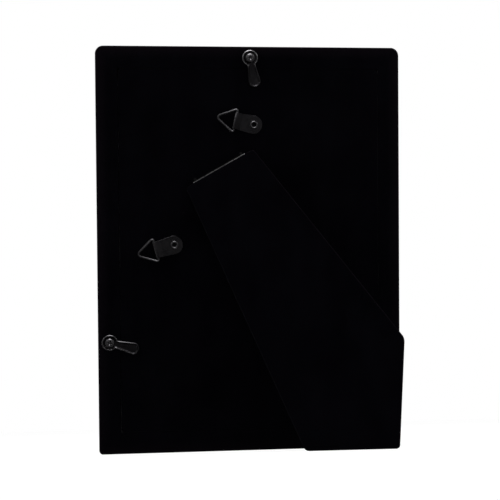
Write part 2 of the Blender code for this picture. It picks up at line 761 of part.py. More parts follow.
def in_strut_plane(x, y):
    """Return a point of the back face in the closed strut's own X and Y."""
    place = hinge_place()
    return Matrix.Rotation(-HINGE_TILT, 2) @ Vector((x - place[0], y - place[1]))


def strut_sides():
    """Return the strut's side planes as point and outward normal, without the floor cut."""
    top_left = Vector((-STRUT_TOP_WIDTH / 2, -STRUT_TOP_DROP))
    top_right = Vector((STRUT_TOP_WIDTH / 2, -STRUT_TOP_DROP))
    right = OUTER_WIDTH / 2
    shoulder = in_strut_plane(right - SHOULDER_INSET, SHOULDER_HEIGHT)
    toe = in_strut_plane(right - TOE_INSET, TOE_HEIGHT)
    heel = in_strut_plane(right - TOE_INSET - FOOT_WIDTH, TOE_HEIGHT)
    planes = []
    for start, end in ((top_right, top_left), (shoulder, top_right), (toe, shoulder), (top_left, heel)):
        along = (end - start).normalized()
        planes.append((Vector((*start, 0.0)), Vector((along.y, -along.x, 0.0))))
    return planes


def fold_floor_level():
    """Return how far the lowest line of the velvet fold lies above the sharp bottom edge."""
    fold = VELVET_FOLD_RADIUS
    points = arc((fold, fold), fold, math.pi, 3 * QUARTER, FOLD_STEPS)
    return min(math.cos(FRAME_LEAN) * y + math.sin(FRAME_LEAN) * depth for y, depth in points)


def floor_in_strut():
    """Return the floor as a point and a downward normal in the open strut's own space."""
    place = hinge_place()
    swing = (
        Matrix.Rotation(FRAME_LEAN, 4, "X")
        @ Matrix.Rotation(QUARTER, 4, "X")
        @ Matrix.Translation((place[0], place[1], 0.0))
        @ Matrix.Rotation(HINGE_TILT, 4, "Z")
        @ Matrix.Rotation(-STRUT_OPENING, 4, "X")
    )
    inverse = swing.inverted()
    point = inverse @ Vector((0.0, 0.0, fold_floor_level()))
    return point, inverse.to_3x3() @ Vector((0.0, 0.0, -1.0))


def strut_body(inset, low, high, corner):
    """Return the strut's outline as a solid, every side and the foot moved in by one inset."""
    blank = OUTER_HEIGHT
    bm = box((-blank, -blank, low), (blank, blank, high))
    for point, normal in strut_sides() + [floor_in_strut()]:
        bmesh.ops.bisect_plane(
            bm,
            geom=bm.verts[:] + bm.edges[:] + bm.faces[:],
            plane_co=point - normal * inset,
            plane_no=normal,
            clear_outer=True,
        )
        rim = [edge for edge in bm.edges if edge.is_boundary]
        bmesh.ops.edgeloop_fill(bm, edges=rim)
    upright = []
    for edge in bm.edges:
        along = (edge.verts[1].co - edge.verts[0].co).normalized()
        if abs(along.z) > math.sin(QUARTER / 2):
            upright.append(edge)
    bmesh.ops.bevel(
        bm,
        geom=upright,
        offset=corner,
        segments=FOLD_STEPS,
        profile=ROUND_BEVEL,
        affect="EDGES",
        offset_type="OFFSET",
    )
    bmesh.ops.recalc_face_normals(bm, faces=bm.faces)
    return bm


def build_strut(swing, finishes):
    """Make the strut board and the velvet tray that wraps its outer face and edges."""
    inset = VELVET + SEAT_GAP
    inner = strut_body(inset, STRUT_STANDOFF, STRUT_BOARD_TOP, STRUT_CORNER - inset)
    board = piece_object("strut_board", inner, swing, finishes["fibreboard"])
    outer = strut_body(0.0, STRUT_STANDOFF, STRUT_FACE, STRUT_CORNER)
    velvet = piece_object("strut_velvet", outer, swing, finishes["velvet"])
    hollow = strut_body(
        VELVET, STRUT_STANDOFF - CUT_OVERRUN, STRUT_FACE - VELVET, STRUT_CORNER - VELVET
    )
    combine(velvet, "DIFFERENCE", "strut_velvet_hollow", hollow)
    half_pin = HINGE_CLEAR_WIDTH / 2
    low = (-half_pin, -LEAF_END - SEAT_GAP, -CUT_OVERRUN)
    high = (half_pin, LEAF_START, REBATE_DEPTH)
    combine(board, "DIFFERENCE", "strut_board_rebate", box(low, high))
    combine(velvet, "DIFFERENCE", "strut_velvet_rebate", box(low, high))
    holes, sinks = [], []
    low_sink = STRUT_BOARD_TOP - RIVET_TAIL_THICKNESS - 2 * SEAT_GAP
    high_sink = STRUT_BOARD_TOP + CUT_OVERRUN
    for place in rivet_places(-1):
        holes.append(cylinder(RIVET_RADIUS + HOLE_PLAY, 0.0, STRUT_FACE, SMALL_SIDES, place))
        radius = RIVET_TAIL_RADIUS + HOLE_PLAY
        sinks.append(cylinder(radius, low_sink, high_sink, SMALL_SIDES, place))
    combine(board, "DIFFERENCE", "strut_board_holes", merged(*holes))
    combine(board, "DIFFERENCE", "strut_board_sinks", merged(*sinks))


# Turn buttons

def button_outline(inset):
    """Return the outline of a turn button, moved in by one inset, tongue towards -Y.

    The round head runs through a filleted neck into a tongue with a squarish tip.
    """
    head = BUTTON_HEAD_RADIUS - inset
    neck = BUTTON_NECK_WIDTH / 2 - inset
    tongue = BUTTON_TONGUE_RADIUS - inset
    tip = BUTTON_TONGUE_RADIUS - BUTTON_REACH
    meet = math.asin(min(neck / head, 1.0))
    points = arc((0.0, 0.0), head, meet - QUARTER, 3 * QUARTER - meet, ROUND_SIDES)
    fillet = round_corner(
        points[-1], (-neck, -BUTTON_NECK_REACH), (-tongue, tip), BUTTON_NECK_RADIUS, CORNER_STEPS
    )
    points += fillet
    for x, y in arc((0.0, 0.0), 1.0, math.pi, math.tau, SMALL_SIDES):
        across = math.copysign(abs(x) ** BUTTON_TIP_ROUNDNESS, x) * tongue
        points.append((across, tip - abs(y) ** BUTTON_TIP_ROUNDNESS * tongue))
    points += [(-x, y) for x, y in reversed(fillet)]
    return points


def button_mesh():
    """Return a pressed button with a dished floor inside a rolled rim."""
    levels = [
        (0.0, SEAT_GAP),
        (0.0, BUTTON_RIM_TOP - BUTTON_RIM_RISE / 2),
        (BUTTON_RIM_WIDTH / 4, BUTTON_RIM_TOP),
        (BUTTON_RIM_WIDTH / 2, BUTTON_RIM_TOP),
        (BUTTON_RIM_WIDTH, BUTTON_FLOOR),
    ]
    return loft([[(x, y, height) for x, y in button_outline(inset)] for inset, height in levels])


def screw_mesh():
    """Return a pan head screw with its shank and point."""
    seat, radius = SCREW_HEAD_SEAT, SCREW_HEAD_RADIUS
    profile = [
        (0.0, -SCREW_LENGTH),
        (SCREW_RADIUS / 4, -SCREW_LENGTH),
        (SCREW_RADIUS, SCREW_POINT - SCREW_LENGTH),
        (SCREW_RADIUS, seat),
        (radius, seat),
    ]
    for i in range(1, CORNER_STEPS):
        angle = QUARTER * i / CORNER_STEPS
        rise = SCREW_HEAD_HEIGHT * math.sin(angle)
        profile.append((radius * math.cos(angle) ** SCREW_HEAD_ROUNDNESS, seat + rise))
    profile.append((0.0, seat + SCREW_HEAD_HEIGHT))
    return turned(profile, ROUND_SIDES)


def cross_recess(top):
    """Return the cross that is pressed into a screw head, from above its top."""
    half, wide = CROSS_LENGTH / 2, CROSS_WIDTH / 2
    arm = [(half, -wide), (half, wide), (wide, wide)]
    outline = []
    for side in range(4):
        turn = Matrix.Rotation(side * QUARTER, 2)
        outline += [tuple(turn @ Vector(point)) for point in arm]
    return prism(outline, top - CROSS_DEPTH, top + CUT_OVERRUN)


def build_buttons(back, finishes):
    """Make the three turn buttons and the cross-recess screws they turn on."""
    for name, place, turn in button_places():
        axis = empty(name + "_button_axis", back, (place[0], place[1], 0.0))
        button = piece_object(name + "_button", button_mesh(), axis, finishes["gunmetal"])
        button.rotation_euler.z = turn
        hole = cylinder(SCREW_RADIUS + HOLE_PLAY, 0.0, BUTTON_RIM_TOP + CUT_OVERRUN, ROUND_SIDES)
        combine(button, "DIFFERENCE", name + "_button_hole", hole)
        screw = piece_object(name + "_button_screw", screw_mesh(), axis, finishes["gunmetal"])
        screw.rotation_euler.z = turn
        cross = cross_recess(SCREW_HEAD_SEAT + SCREW_HEAD_HEIGHT)
        combine(screw, "DIFFERENCE", name + "_screw_cross", cross)


# Hangers

def strap_mesh():
    """Return the folded strap, its eye towards -X and its fold round the wire towards +X."""
    lower = SEAT_GAP + STRAP_SHEET / 2
    upper = STRAP_TOP - STRAP_SHEET / 2
    bend = STRAP_CURL_RADIUS - STRAP_SHEET / 2
    fold_end = STRAP_CURL_ARC - QUARTER
    path = [(-STRAP_TAIL, lower)]
    path += arc((EYELET_TO_WIRE, WIRE_HEIGHT), bend, -QUARTER, fold_end, CURL_STEPS)
    path.append((EYELET_TO_WIRE - STRAP_CURL_RADIUS * STRAP_RETURN_SHARE, upper))
    path.append((-STRAP_TAIL, upper))
    outline = thick_path(path, STRAP_SHEET)
    half = STRAP_WIDTH / 2
    return loft([[(x, y, z) for x, z in outline] for y in (-half, half)])


def strap_plan():
    """Return the plan of the strap: sides that draw in towards the fold, and a round tail."""
    half, fold = STRAP_WIDTH / 2, STRAP_FOLD_WIDTH / 2
    neck = EYELET_TO_WIRE - STRAP_CURL_RADIUS
    end = EYELET_TO_WIRE + STRAP_CURL_RADIUS + CUT_OVERRUN
    tail = arc((half - STRAP_TAIL, 0.0), half, QUARTER, 3 * QUARTER, SMALL_SIDES)
    return [(neck, -fold), (end, -fold), (end, fold), (neck, fold)] + tail


def eyelet_mesh():
    """Return the hollow eyelet, from its rolled flange on the strap to the one inside the panel."""
    top_low = STRAP_TOP + EYELET_SEAT
    top_high = top_low + EYELET_FLANGE_THICKNESS
    bottom_low = SEAT_GAP - PANEL_FRONT_DEPTH
    bottom_high = bottom_low + EYELET_FLANGE_THICKNESS
    round_over = EYELET_FLANGE_THICKNESS / 2
    profile = [
        (EYELET_BORE, bottom_low),
        (EYELET_FLANGE_RADIUS, bottom_low),
        (EYELET_FLANGE_RADIUS, bottom_high),
        (EYELET_RADIUS, bottom_high),
        (EYELET_RADIUS, top_low),
        (EYELET_FLANGE_RADIUS, top_low),
        (EYELET_FLANGE_RADIUS, top_low + round_over),
        (EYELET_FLANGE_RADIUS - round_over, top_high),
        (EYELET_BORE + round_over, top_high),
        (EYELET_BORE, top_low + round_over),
    ]
    return turned(profile, ROUND_SIDES)


def ring_path():
    """Return the wire's centre line, from one end inside the fold round to the other."""
    half = RING_BASE / 2
    left, right, point = (0.0, half), (0.0, -half), (RING_POINT_REACH, 0.0)
    path = [(0.0, WIRE_BUTT_GAP / 2)]
    path += round_corner((0.0, 0.0), left, point, RING_CORNER_RADIUS, CORNER_STEPS)
    path += round_corner(left, point, right, RING_POINT_RADIUS, CORNER_STEPS)
    path += round_corner(point, right, (0.0, 0.0), RING_CORNER_RADIUS, CORNER_STEPS)
    path.append((0.0, -WIRE_BUTT_GAP / 2))
    return path


def ring_mesh():
    """Return the ring as one tube along its path, with its swing axis on Y."""
    path = ring_path()
    section = arc((0.0, 0.0), WIRE_RADIUS, 0.0, math.tau, WIRE_SIDES)[:-1]
    loops = []
    for (x, y), side in zip(path, path_sides(path)):
        loops.append([(x + side.x * out, y + side.y * out, up) for out, up in section])
    return loft(loops)


def build_hangers(back, finishes):
    """Make both hangers: a strap that turns on its eyelet, and a ring that swings in the fold."""
    for name, place, turn in hanger_places():
        eye = empty(name + "_hanger_axis", back, (place[0], place[1], 0.0), (0.0, 0.0, turn))
        strap = piece_object(name + "_hanger_strap", strap_mesh(), eye, finishes["gunmetal"])
        plan = prism(strap_plan(), -CUT_OVERRUN, 2 * WIRE_HEIGHT + CUT_OVERRUN)
        combine(strap, "INTERSECT", name + "_strap_plan", plan)
        hole = cylinder(EYELET_RADIUS + HOLE_PLAY, 0.0, 2 * WIRE_HEIGHT, ROUND_SIDES)
        combine(strap, "DIFFERENCE", name + "_strap_hole", hole)
        piece_object(name + "_hanger_eyelet", eyelet_mesh(), eye, finishes["gunmetal"])
        at_fold = (EYELET_TO_WIRE, 0.0, WIRE_HEIGHT)
        pivot = empty(name + "_ring_axis", eye, at_fold, (0.0, RING_DROOP, 0.0))
        piece_object(name + "_hanger_ring", ring_mesh(), pivot, finishes["gunmetal"])


# Placing the whole frame

def stand_on_floor(root):
    """Move the frame so that its footprint is centred on the origin, with the floor at Z = 0."""
    bpy.context.view_layer.update()
    graph = bpy.context.evaluated_depsgraph_get()
    corners = []
    for thing in bpy.context.scene.objects:
        if thing.type != "MESH" or thing.hide_render:
            continue
        shape = thing.evaluated_get(graph)
        mesh = shape.to_mesh()
        corners += [shape.matrix_world @ vertex.co for vertex in mesh.vertices]
        shape.to_mesh_clear()
    for axis in (0, 1):
        values = [corner[axis] for corner in corners]
        root.location[axis] -= (min(values) + max(values)) / 2
    bpy.context.view_layer.update()


def main():
    """Build the whole frame."""
    for thing in list(bpy.data.objects):
        bpy.data.objects.remove(thing)
    finishes = make_finishes()
    root = empty("stand_pose", None, (0.0, 0.0, -fold_floor_level()), (FRAME_LEAN, 0.0, 0.0))
    back = empty("back_face", root, rotation=(QUARTER, 0.0, 0.0))
    build_rails(back, finishes)
    build_rim_velvet(back, finishes)
    build_front(back, finishes)
    build_contents(back, finishes)
    build_panel(back, finishes)
    place = hinge_place()
    hinge = empty("strut_hinge_axis", back, (place[0], place[1], 0.0), (0.0, 0.0, HINGE_TILT))
    swing = empty("strut_swing", hinge, rotation=(-STRUT_OPENING, 0.0, 0.0))
    build_hinge(hinge, swing, finishes)
    build_strut(swing, finishes)
    build_buttons(back, finishes)
    build_hangers(back, finishes)
    stand_on_floor(root)


if __name__ == "__main__":
    main()
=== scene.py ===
"""Metal photo frame seen from its velvet back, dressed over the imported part.

Each sub-assembly is a class that holds its sizes, builds its meshes with bmesh
operators and dresses them in procedural finishes. A mesh is shaped in the space
of its own fitting and then moved into the row frame, so every object stays at
the origin. All lengths are in metres and all angles in radians.
"""

import logging
from collections.abc import Callable
from dataclasses import dataclass, field
from enum import Enum, StrEnum
from math import asin, atan2, copysign, cos, pi, radians, sin, tan, tau

import bmesh
import bpy
from bmesh.types import BMEdge, BMesh, BMFace, BMVert
from bpy.types import ID, Material, Mesh, NodeSocket, Object, ShaderNode, World
from mathutils import Matrix, Vector


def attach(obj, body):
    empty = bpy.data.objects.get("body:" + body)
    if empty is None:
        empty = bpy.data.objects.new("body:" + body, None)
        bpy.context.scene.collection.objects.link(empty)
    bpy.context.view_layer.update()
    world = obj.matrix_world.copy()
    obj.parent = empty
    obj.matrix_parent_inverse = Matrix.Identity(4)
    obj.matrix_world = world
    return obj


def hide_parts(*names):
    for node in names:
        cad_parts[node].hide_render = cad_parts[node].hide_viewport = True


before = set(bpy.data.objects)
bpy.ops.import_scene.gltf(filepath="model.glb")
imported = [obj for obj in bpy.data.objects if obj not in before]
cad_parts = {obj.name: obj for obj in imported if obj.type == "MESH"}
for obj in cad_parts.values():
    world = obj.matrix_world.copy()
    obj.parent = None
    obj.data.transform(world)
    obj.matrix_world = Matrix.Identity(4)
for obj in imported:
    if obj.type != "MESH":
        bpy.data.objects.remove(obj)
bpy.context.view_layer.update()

LOG = logging.getLogger("photo_frame")
QUARTER = pi / 2
PAINTED_LIGHT_AND_WEAR = "paint_light_and_wear"
TOUCHING = 1e-7
WELD = 1e-6
FLAT_ANGLE = radians(1.0)
SOFTENED_ANGLE = radians(35.0)
Point = tuple[float, float]
Triple = tuple[float, float, float]
Value = NodeSocket | float | tuple


class Body(StrEnum):
    """The bodies of the frame that pieces ride on, apart from those named after a fitting."""

    FRAME = "frame"
    STRUT = "strut"


class Slot(StrEnum):
    """The record's material slots."""

    SILVER = "silver"
    GUNMETAL = "gunmetal"
    STEEL = "steel"
    VELVET = "velvet"


class Carve(Enum):
    """What a cutter does to a piece."""

    CUT = "DIFFERENCE"
    KEEP = "INTERSECT"


# Shaders


class NodeSheet:
    """The node tree of a new material or world, with the shader that it comes with."""

    def __init__(self, owner: Material | World, shader: str = "Principled BSDF") -> None:
        """Take a shader in hand, and the socket that it leads to.

        Args:
            owner: A new material or world.
            shader: The name of the shader it comes with.
        """
        owner.use_nodes = True
        self.owner = owner
        self.tree = owner.node_tree
        self.shader = self.tree.nodes[shader]
        self.end = self.shader.outputs[0].links[0].to_socket

    def wire(self, value: Value, target: NodeSocket) -> None:
        """Lead a value to a socket.

        Args:
            value: Another socket to link, or a constant to write.
            target: The socket.
        """
        if isinstance(value, NodeSocket):
            self.tree.links.new(value, target)
        else:
            target.default_value = value

    def give(self, node: ShaderNode, **inputs: Value) -> ShaderNode:
        """Fill some inputs of a node.

        Args:
            node: The node.
            **inputs: A value for each input, its name with _ for a space.

        Returns:
            The node.
        """
        for name, value in inputs.items():
            self.wire(value, node.inputs[name.replace("_", " ")])
        return node

    def set(self, **inputs: Value) -> None:
        """Fill the named inputs of the tree's own shader."""
        self.give(self.shader, **inputs)

    def add(self, kind: str, **inputs: Value) -> ShaderNode:
        """Add a node of a kind with the inputs that are named."""
        return self.give(self.tree.nodes.new(kind), **inputs)

    def coordinates(self, uv: bool = False) -> NodeSocket:
        """Return the piece's object coordinates, or those of its own UV map."""
        return self.add("ShaderNodeTexCoord").outputs["UV" if uv else "Object"]

    def stretched(self, scale: Triple, uv: bool = False) -> NodeSocket:
        """Return the coordinates stretched by a factor along each axis."""
        node = self.add("ShaderNodeMapping", Vector=self.coordinates(uv), Scale=scale)
        return node.outputs["Vector"]

    def noise(
        self,
        scale: float,
        detail: float = 3.0,
        roughness: float = 0.55,
        along: NodeSocket | None = None,
    ) -> NodeSocket:
        """Return a noise of so many cells per metre, along coordinates or the object's own."""
        node = self.add("ShaderNodeTexNoise", Scale=scale, Detail=detail, Roughness=roughness)
        return self.give(node, Vector=along or self.coordinates()).outputs["Fac"]

    def stored(self, name: str) -> NodeSocket:
        """Read a value that is stored on the mesh.

        Args:
            name: The attribute's name.

        Returns:
            Its socket, which gives 0 where a mesh has none.
        """
        node = self.add("ShaderNodeAttribute")
        node.attribute_name = name
        return node.outputs["Fac"]

    def ramp(self, value: NodeSocket, low: Triple, high: Triple) -> NodeSocket:
        """Lay a ramp between two colours.

        Args:
            value: Where to read it, from 0 to 1.
            low: The colour at 0.
            high: The colour at 1.

        Returns:
            The colour's socket.
        """
        node = self.add("ShaderNodeValToRGB", Fac=value)
        for element, colour in zip(node.color_ramp.elements, (low, high)):
            element.color = (*colour, 1.0)
        return node.outputs["Color"]

    def spread(
        self, value: NodeSocket, low: float, high: float, start: float, end: float
    ) -> NodeSocket:
        """Return a value mapped from the range start to end onto the range low to high."""
        node = self.add("ShaderNodeMapRange", Value=value, From_Min=start, From_Max=end)
        return self.give(node, To_Min=low, To_Max=high).outputs["Result"]

    def mixed(self, share: NodeSocket, first: NodeSocket, second: Triple) -> NodeSocket:
        """Let a colour give way to a second one.

        Args:
            share: How much of the second shows.
            first: The first colour's socket.
            second: The second colour.

        Returns:
            The mixed colour's socket.
        """
        node = self.add("ShaderNodeMix", Factor=share)
        node.data_type = "RGBA"
        self.wire(first, node.inputs[6])
        self.wire((*second, 1.0), node.inputs[7])
        return node.outputs[2]

    def reckoned(self, operation: str, *values: NodeSocket | float) -> NodeSocket:
        """Reckon with a Math node.

        Args:
            operation: What it does.
            *values: The sockets and constants that it takes.

        Returns:
            The result's socket.
        """
        node = self.add("ShaderNodeMath")
        node.operation = operation
        for socket, value in zip(node.inputs, values):
            self.wire(value, socket)
        return node.outputs["Value"]

    def summed(self, first: NodeSocket, second: NodeSocket, weight: float) -> NodeSocket:
        """Return the first value plus a weight times the second."""
        return self.reckoned("MULTIPLY_ADD", second, weight, first)

    def bump(self, height: NodeSocket, depth: float, strength: float = 1.0) -> None:
        """Raise the surface by a height of a given depth in metres."""
        node = self.add("ShaderNodeBump", Height=height, Distance=depth, Strength=strength)
        self.set(Normal=node.outputs["Normal"])

    def light_path(self, name: str) -> NodeSocket:
        """Return whether a ray is of the kind that a Light Path socket names."""
        return self.add("ShaderNodeLightPath").outputs[name]

    def swap(self, share: NodeSocket, other: ShaderNode) -> None:
        """Show another shader in place of the tree's own.

        Args:
            share: How much of the other shows.
            other: The other shader's node.
        """
        either = self.add("ShaderNodeMixShader", Fac=share)
        self.wire(self.shader.outputs[0], either.inputs[1])
        self.wire(other.outputs[0], either.inputs[2])
        self.wire(either.outputs["Shader"], self.end)


# Finishes


@dataclass(frozen=True)
class Finish:
    """A procedural finish with its own material."""

    name: str

    def sheet(self) -> NodeSheet:
        """Return the node tree of a new material with the finish's name."""
        return NodeSheet(bpy.data.materials.new(self.name))


@dataclass(frozen=True)
class Velvet(Finish):
    """Short black pile with brushed patches, painted sheen where a piece stores it, lint and a
    faint sheen.
    """

    deep: Triple = (0.0009, 0.0008, 0.0014)
    raised: Triple = (0.0026, 0.0024, 0.0036)
    wear_and_painted_light: Triple = (0.0050, 0.0036, 0.0052)
    lint: Triple = (0.03, 0.028, 0.03)
    pile_scale: float = 2600.0
    patch_scale: float = 34.0
    stroke: Triple = (90.0, 90.0, 16.0)
    lint_scale: float = 420.0
    lint_patch_scale: float = 140.0
    lint_size: Point = (0.04, 0.09)
    lint_rarity: Point = (0.74, 0.8)
    pile_depth: float = 0.00018
    stroke_weight: float = 0.6
    pile_weight: float = 0.35
    stroke_height: float = 0.8
    lie_range: Point = (0.65, 1.3)
    sheen_tint: tuple = (0.8, 0.78, 0.85, 1.0)

    def build(self) -> Material:
        """Build the velvet.

        Returns:
            Its material.
        """
        sheet = self.sheet()
        patches = sheet.noise(self.patch_scale, detail=4.0)
        strokes = sheet.noise(1.0, detail=2.0, along=sheet.stretched(self.stroke))
        pile = sheet.noise(self.pile_scale, detail=2.0, roughness=0.7)
        lie = sheet.summed(patches, strokes, self.stroke_weight)
        lie = sheet.summed(lie, pile, self.pile_weight)
        nap = sheet.ramp(sheet.spread(lie, 0.0, 1.0, *self.lie_range), self.deep, self.raised)
        # Painted sheen: a lighter nap where the piece stores its share, along the rim's edges and
        # the strut's right edge.
        nap = sheet.mixed(sheet.stored(PAINTED_LIGHT_AND_WEAR), nap, self.wear_and_painted_light)
        specks = sheet.add("ShaderNodeTexVoronoi", Scale=self.lint_scale)
        sheet.give(specks, Vector=sheet.coordinates())
        near = sheet.spread(specks.outputs["Distance"], 1.0, 0.0, *self.lint_size)
        rare = sheet.noise(self.lint_patch_scale, detail=0.0)
        rare = sheet.spread(rare, 0.0, 1.0, *self.lint_rarity)
        nap = sheet.mixed(sheet.reckoned("MULTIPLY", near, rare), nap, self.lint)
        sheet.bump(sheet.summed(pile, strokes, self.stroke_height), self.pile_depth)
        sheet.set(Base_Color=nap, Roughness=1.0, Specular_IOR_Level=0.0)
        sheet.set(Sheen_Weight=0.03, Sheen_Roughness=0.35, Sheen_Tint=self.sheen_tint)
        return sheet.owner


@dataclass(frozen=True)
class PlatedMetal(Finish):
    """A plated or polished metal with fine scratches, soft smudges, worn edges and painted
    highlights.
    """

    dark: Triple
    light: Triple
    wear_and_highlight: Triple
    smooth: float
    rough: float
    grain: Triple = (900.0, 900.0, 900.0)
    grain_depth: float = 0.00001
    follows_uv: bool = False
    wear_start: float = 0.56
    wear_band: float = 0.1
    most_wear: float = 0.6
    buffed: float = 0.08
    smudge_scale: float = 140.0
    smudge_weight: float = 1.0
    grain_weight: float = 0.5
    tone_range: Point = (0.5, 1.0)

    def build(self) -> Material:
        """Build the metal.

        Returns:
            Its material.
        """
        sheet = self.sheet()
        smudge = sheet.noise(self.smudge_scale, detail=4.0)
        along = sheet.stretched(self.grain, self.follows_uv)
        grain = sheet.noise(1.0, roughness=0.6, along=along)
        cloudy = sheet.spread(smudge, 0.0, self.smudge_weight, 0.0, 1.0)
        tone = sheet.summed(cloudy, grain, self.grain_weight)
        plate = sheet.ramp(sheet.spread(tone, 0.0, 1.0, *self.tone_range), self.dark, self.light)
        edge = sheet.add("ShaderNodeNewGeometry").outputs["Pointiness"]
        # The stored share paints highlights in the lighter colour; pointiness adds real wear on
        # sharp edges.
        start, stored_highlight_and_wear = self.wear_start, sheet.stored(PAINTED_LIGHT_AND_WEAR)
        wear = sheet.spread(edge, 0.0, self.most_wear, start, start + self.wear_band)
        wear_and_painted_light = sheet.spread(sheet.summed(wear, stored_highlight_and_wear, 1.0), 0.0, 1.0, 0.0, 1.0)
        dull = sheet.spread(tone, self.smooth, self.rough, *self.tone_range)
        sheet.bump(grain, self.grain_depth, strength=0.6)
        sheet.set(Metallic=1.0, Base_Color=sheet.mixed(wear_and_painted_light, plate, self.wear_and_highlight))
        sheet.set(Roughness=sheet.summed(dull, stored_highlight_and_wear, -self.buffed))
        return sheet.owner


@dataclass(frozen=True)
class Board(Finish):
    """Pressed board, card or paper, with fibres and a faint mottle."""

    dark: Triple
    light: Triple
    fibre_scale: float
    roughness: float
    fibre_depth: float
    mottle_share: float = 1 / 12
    fibre_weight: float = 0.7
    tone_range: Point = (0.6, 1.1)

    def build(self) -> Material:
        """Build the board.

        Returns:
            Its material.
        """
        sheet = self.sheet()
        mottle = sheet.noise(self.fibre_scale * self.mottle_share, detail=4.0)
        fibres = sheet.noise(self.fibre_scale, roughness=0.7)
        tone = sheet.summed(mottle, fibres, self.fibre_weight)
        tone = sheet.spread(tone, 0.0, 1.0, *self.tone_range)
        sheet.bump(fibres, self.fibre_depth)
        sheet.set(Base_Color=sheet.ramp(tone, self.dark, self.light))
        sheet.set(Roughness=self.roughness, Specular_IOR_Level=0.3)
        return sheet.owner


@dataclass(frozen=True)
class PictureGlass(Finish):
    """Clear sheet glass with a faint green cast and smears, which lets the lamps through."""

    tint: tuple = (0.97, 0.99, 0.98, 1.0)
    smooth: float = 0.0
    smeared: float = 0.05
    smear_scale: float = 26.0
    smear_range: Point = (0.45, 0.8)

    def build(self) -> Material:
        """Build the glass.

        Returns:
            Its material.
        """
        sheet = self.sheet()
        smear = sheet.noise(self.smear_scale, detail=5.0)
        sheet.set(Roughness=sheet.spread(smear, self.smooth, self.smeared, *self.smear_range))
        sheet.set(Base_Color=self.tint, Transmission_Weight=1.0, IOR=1.5)
        sheet.swap(sheet.light_path("Is Shadow Ray"), sheet.add("ShaderNodeBsdfTransparent"))
        return sheet.owner


def made(recipe: Velvet | PlatedMetal | Board | PictureGlass) -> Material:
    """Return a field whose material is built when its owner is."""
    return field(default_factory=recipe.build)


@dataclass
class Finishes:
    """Every finish of the frame, made once."""

    velvet: Material = made(Velvet("black_velvet"))
    silver: Material = made(PlatedMetal(
        "satin_silver", (0.46, 0.455, 0.445), (0.60, 0.595, 0.58), (0.70, 0.69, 0.67), 0.20, 0.34,
        grain=(50.0, 4200.0, 1.0), grain_depth=0.00002, follows_uv=True,
        smudge_weight=0.3, grain_weight=1.1,
    ))
    gunmetal: Material = made(PlatedMetal(
        "dark_gunmetal", (0.0040, 0.0038, 0.0043), (0.0085, 0.0080, 0.0088),
        (0.0560, 0.0546, 0.0572), 0.24, 0.36,
    ))
    wire: Material = made(PlatedMetal(
        "gunmetal_wire", (0.0085, 0.0083, 0.0090), (0.0140, 0.0137, 0.0145),
        (0.0400, 0.0390, 0.0410), 0.50, 0.64, wear_start=0.9, buffed=0.24,
    ))
    pin: Material = made(PlatedMetal(
        "rubbed_pin", (0.024, 0.024, 0.025), (0.042, 0.042, 0.042), (0.06, 0.06, 0.06), 0.22, 0.34,
    ))
    steel: Material = made(PlatedMetal(
        "bright_steel", (0.004, 0.004, 0.0043), (0.0095, 0.0093, 0.0093), (0.026, 0.026, 0.026),
        0.28, 0.42, grain=(300.0, 3000.0, 3000.0),
    ))
    board: Material = made(Board(
        "black_stained_board", (0.006, 0.0058, 0.006), (0.02, 0.018, 0.017), 1500.0, 0.85, 0.00008,
    ))
    card: Material = made(Board(
        "grey_card", (0.36, 0.345, 0.32), (0.50, 0.48, 0.45), 1300.0, 0.9, 0.00006,
    ))
    paper: Material = made(Board(
        "plain_print_paper", (0.80, 0.79, 0.76), (0.86, 0.855, 0.83), 2400.0, 0.6, 0.00001,
    ))
    glass: Material = made(PictureGlass("picture_glass"))


# Shaping


def of_kind(grown: dict, kind: type) -> list:
    """Return the points, edges or faces among what an operator made."""
    return [part for part in grown["geom"] if isinstance(part, kind)]


def bevel(bm: BMesh, geom: list, width: float, steps: int, flat: bool = False) -> None:
    """Round edges, or the corners of a flat face.

    Args:
        bm: The mesh.
        geom: Its edges, or its points where it is flat.
        width: How far the rounding reaches.
        steps: Segments across it.
        flat: True to round the corners of a flat face.
    """
    bmesh.ops.bevel(
        bm,
        geom=geom,
        offset=width,
        segments=steps,
        profile=0.5,
        affect="VERTICES" if flat else "EDGES",
        clamp_overlap=not flat,
        material=-1,
    )


def rounded_face(bm: BMesh, corners: list[Point], radii: list[float], steps: int) -> None:
    """Fill an outline of a few corners and round each of them.

    Args:
        bm: The empty mesh to fill.
        corners: The outline's corners in order.
        radii: The rounding of each corner, 0 for a sharp one.
        steps: Segments of each rounded corner.
    """
    points = [bm.verts.new((x, y, 0.0)) for x, y in corners]
    bm.faces.new(points)
    for radius in sorted(set(radii) - {0.0}):
        chosen = [point for point, own in zip(points, radii) if own == radius]
        bevel(bm, chosen, radius, steps, flat=True)


def lift(bm: BMesh, height: float) -> tuple[list[BMFace], list[BMVert]]:
    """Raise flat faces into a solid.

    Args:
        bm: The mesh of flat faces.
        height: How far they are raised.

    Returns:
        The new faces and the new points.
    """
    grown = bmesh.ops.extrude_face_region(bm, geom=bm.faces[:])
    points = of_kind(grown, BMVert)
    bmesh.ops.translate(bm, verts=points, vec=(0.0, 0.0, height))
    return of_kind(grown, BMFace), points


def chain(bm: BMesh, points: list[Point], y: float = 0.0) -> list[BMEdge]:
    """Add a chain of edges through points of X and Z that lie at one Y."""
    verts = [bm.verts.new((x, y, z)) for x, z in points]
    return [bm.edges.new(pair) for pair in zip(verts, verts[1:])]


def turned(profile: list[Point], steps: int) -> BMesh:
    """Spin a profile round the Z axis.

    Args:
        profile: Points of radius and height.
        steps: Segments of the full turn.

    Returns:
        A closed mesh.
    """
    bm = bmesh.new()
    parts = chain(bm, profile) + bm.verts[:]
    bmesh.ops.spin(bm, geom=parts, axis=(0.0, 0.0, 1.0), angle=tau, steps=steps, use_merge=True)
    bmesh.ops.remove_doubles(bm, verts=bm.verts, dist=TOUCHING)
    bmesh.ops.recalc_face_normals(bm, faces=bm.faces)
    return bm


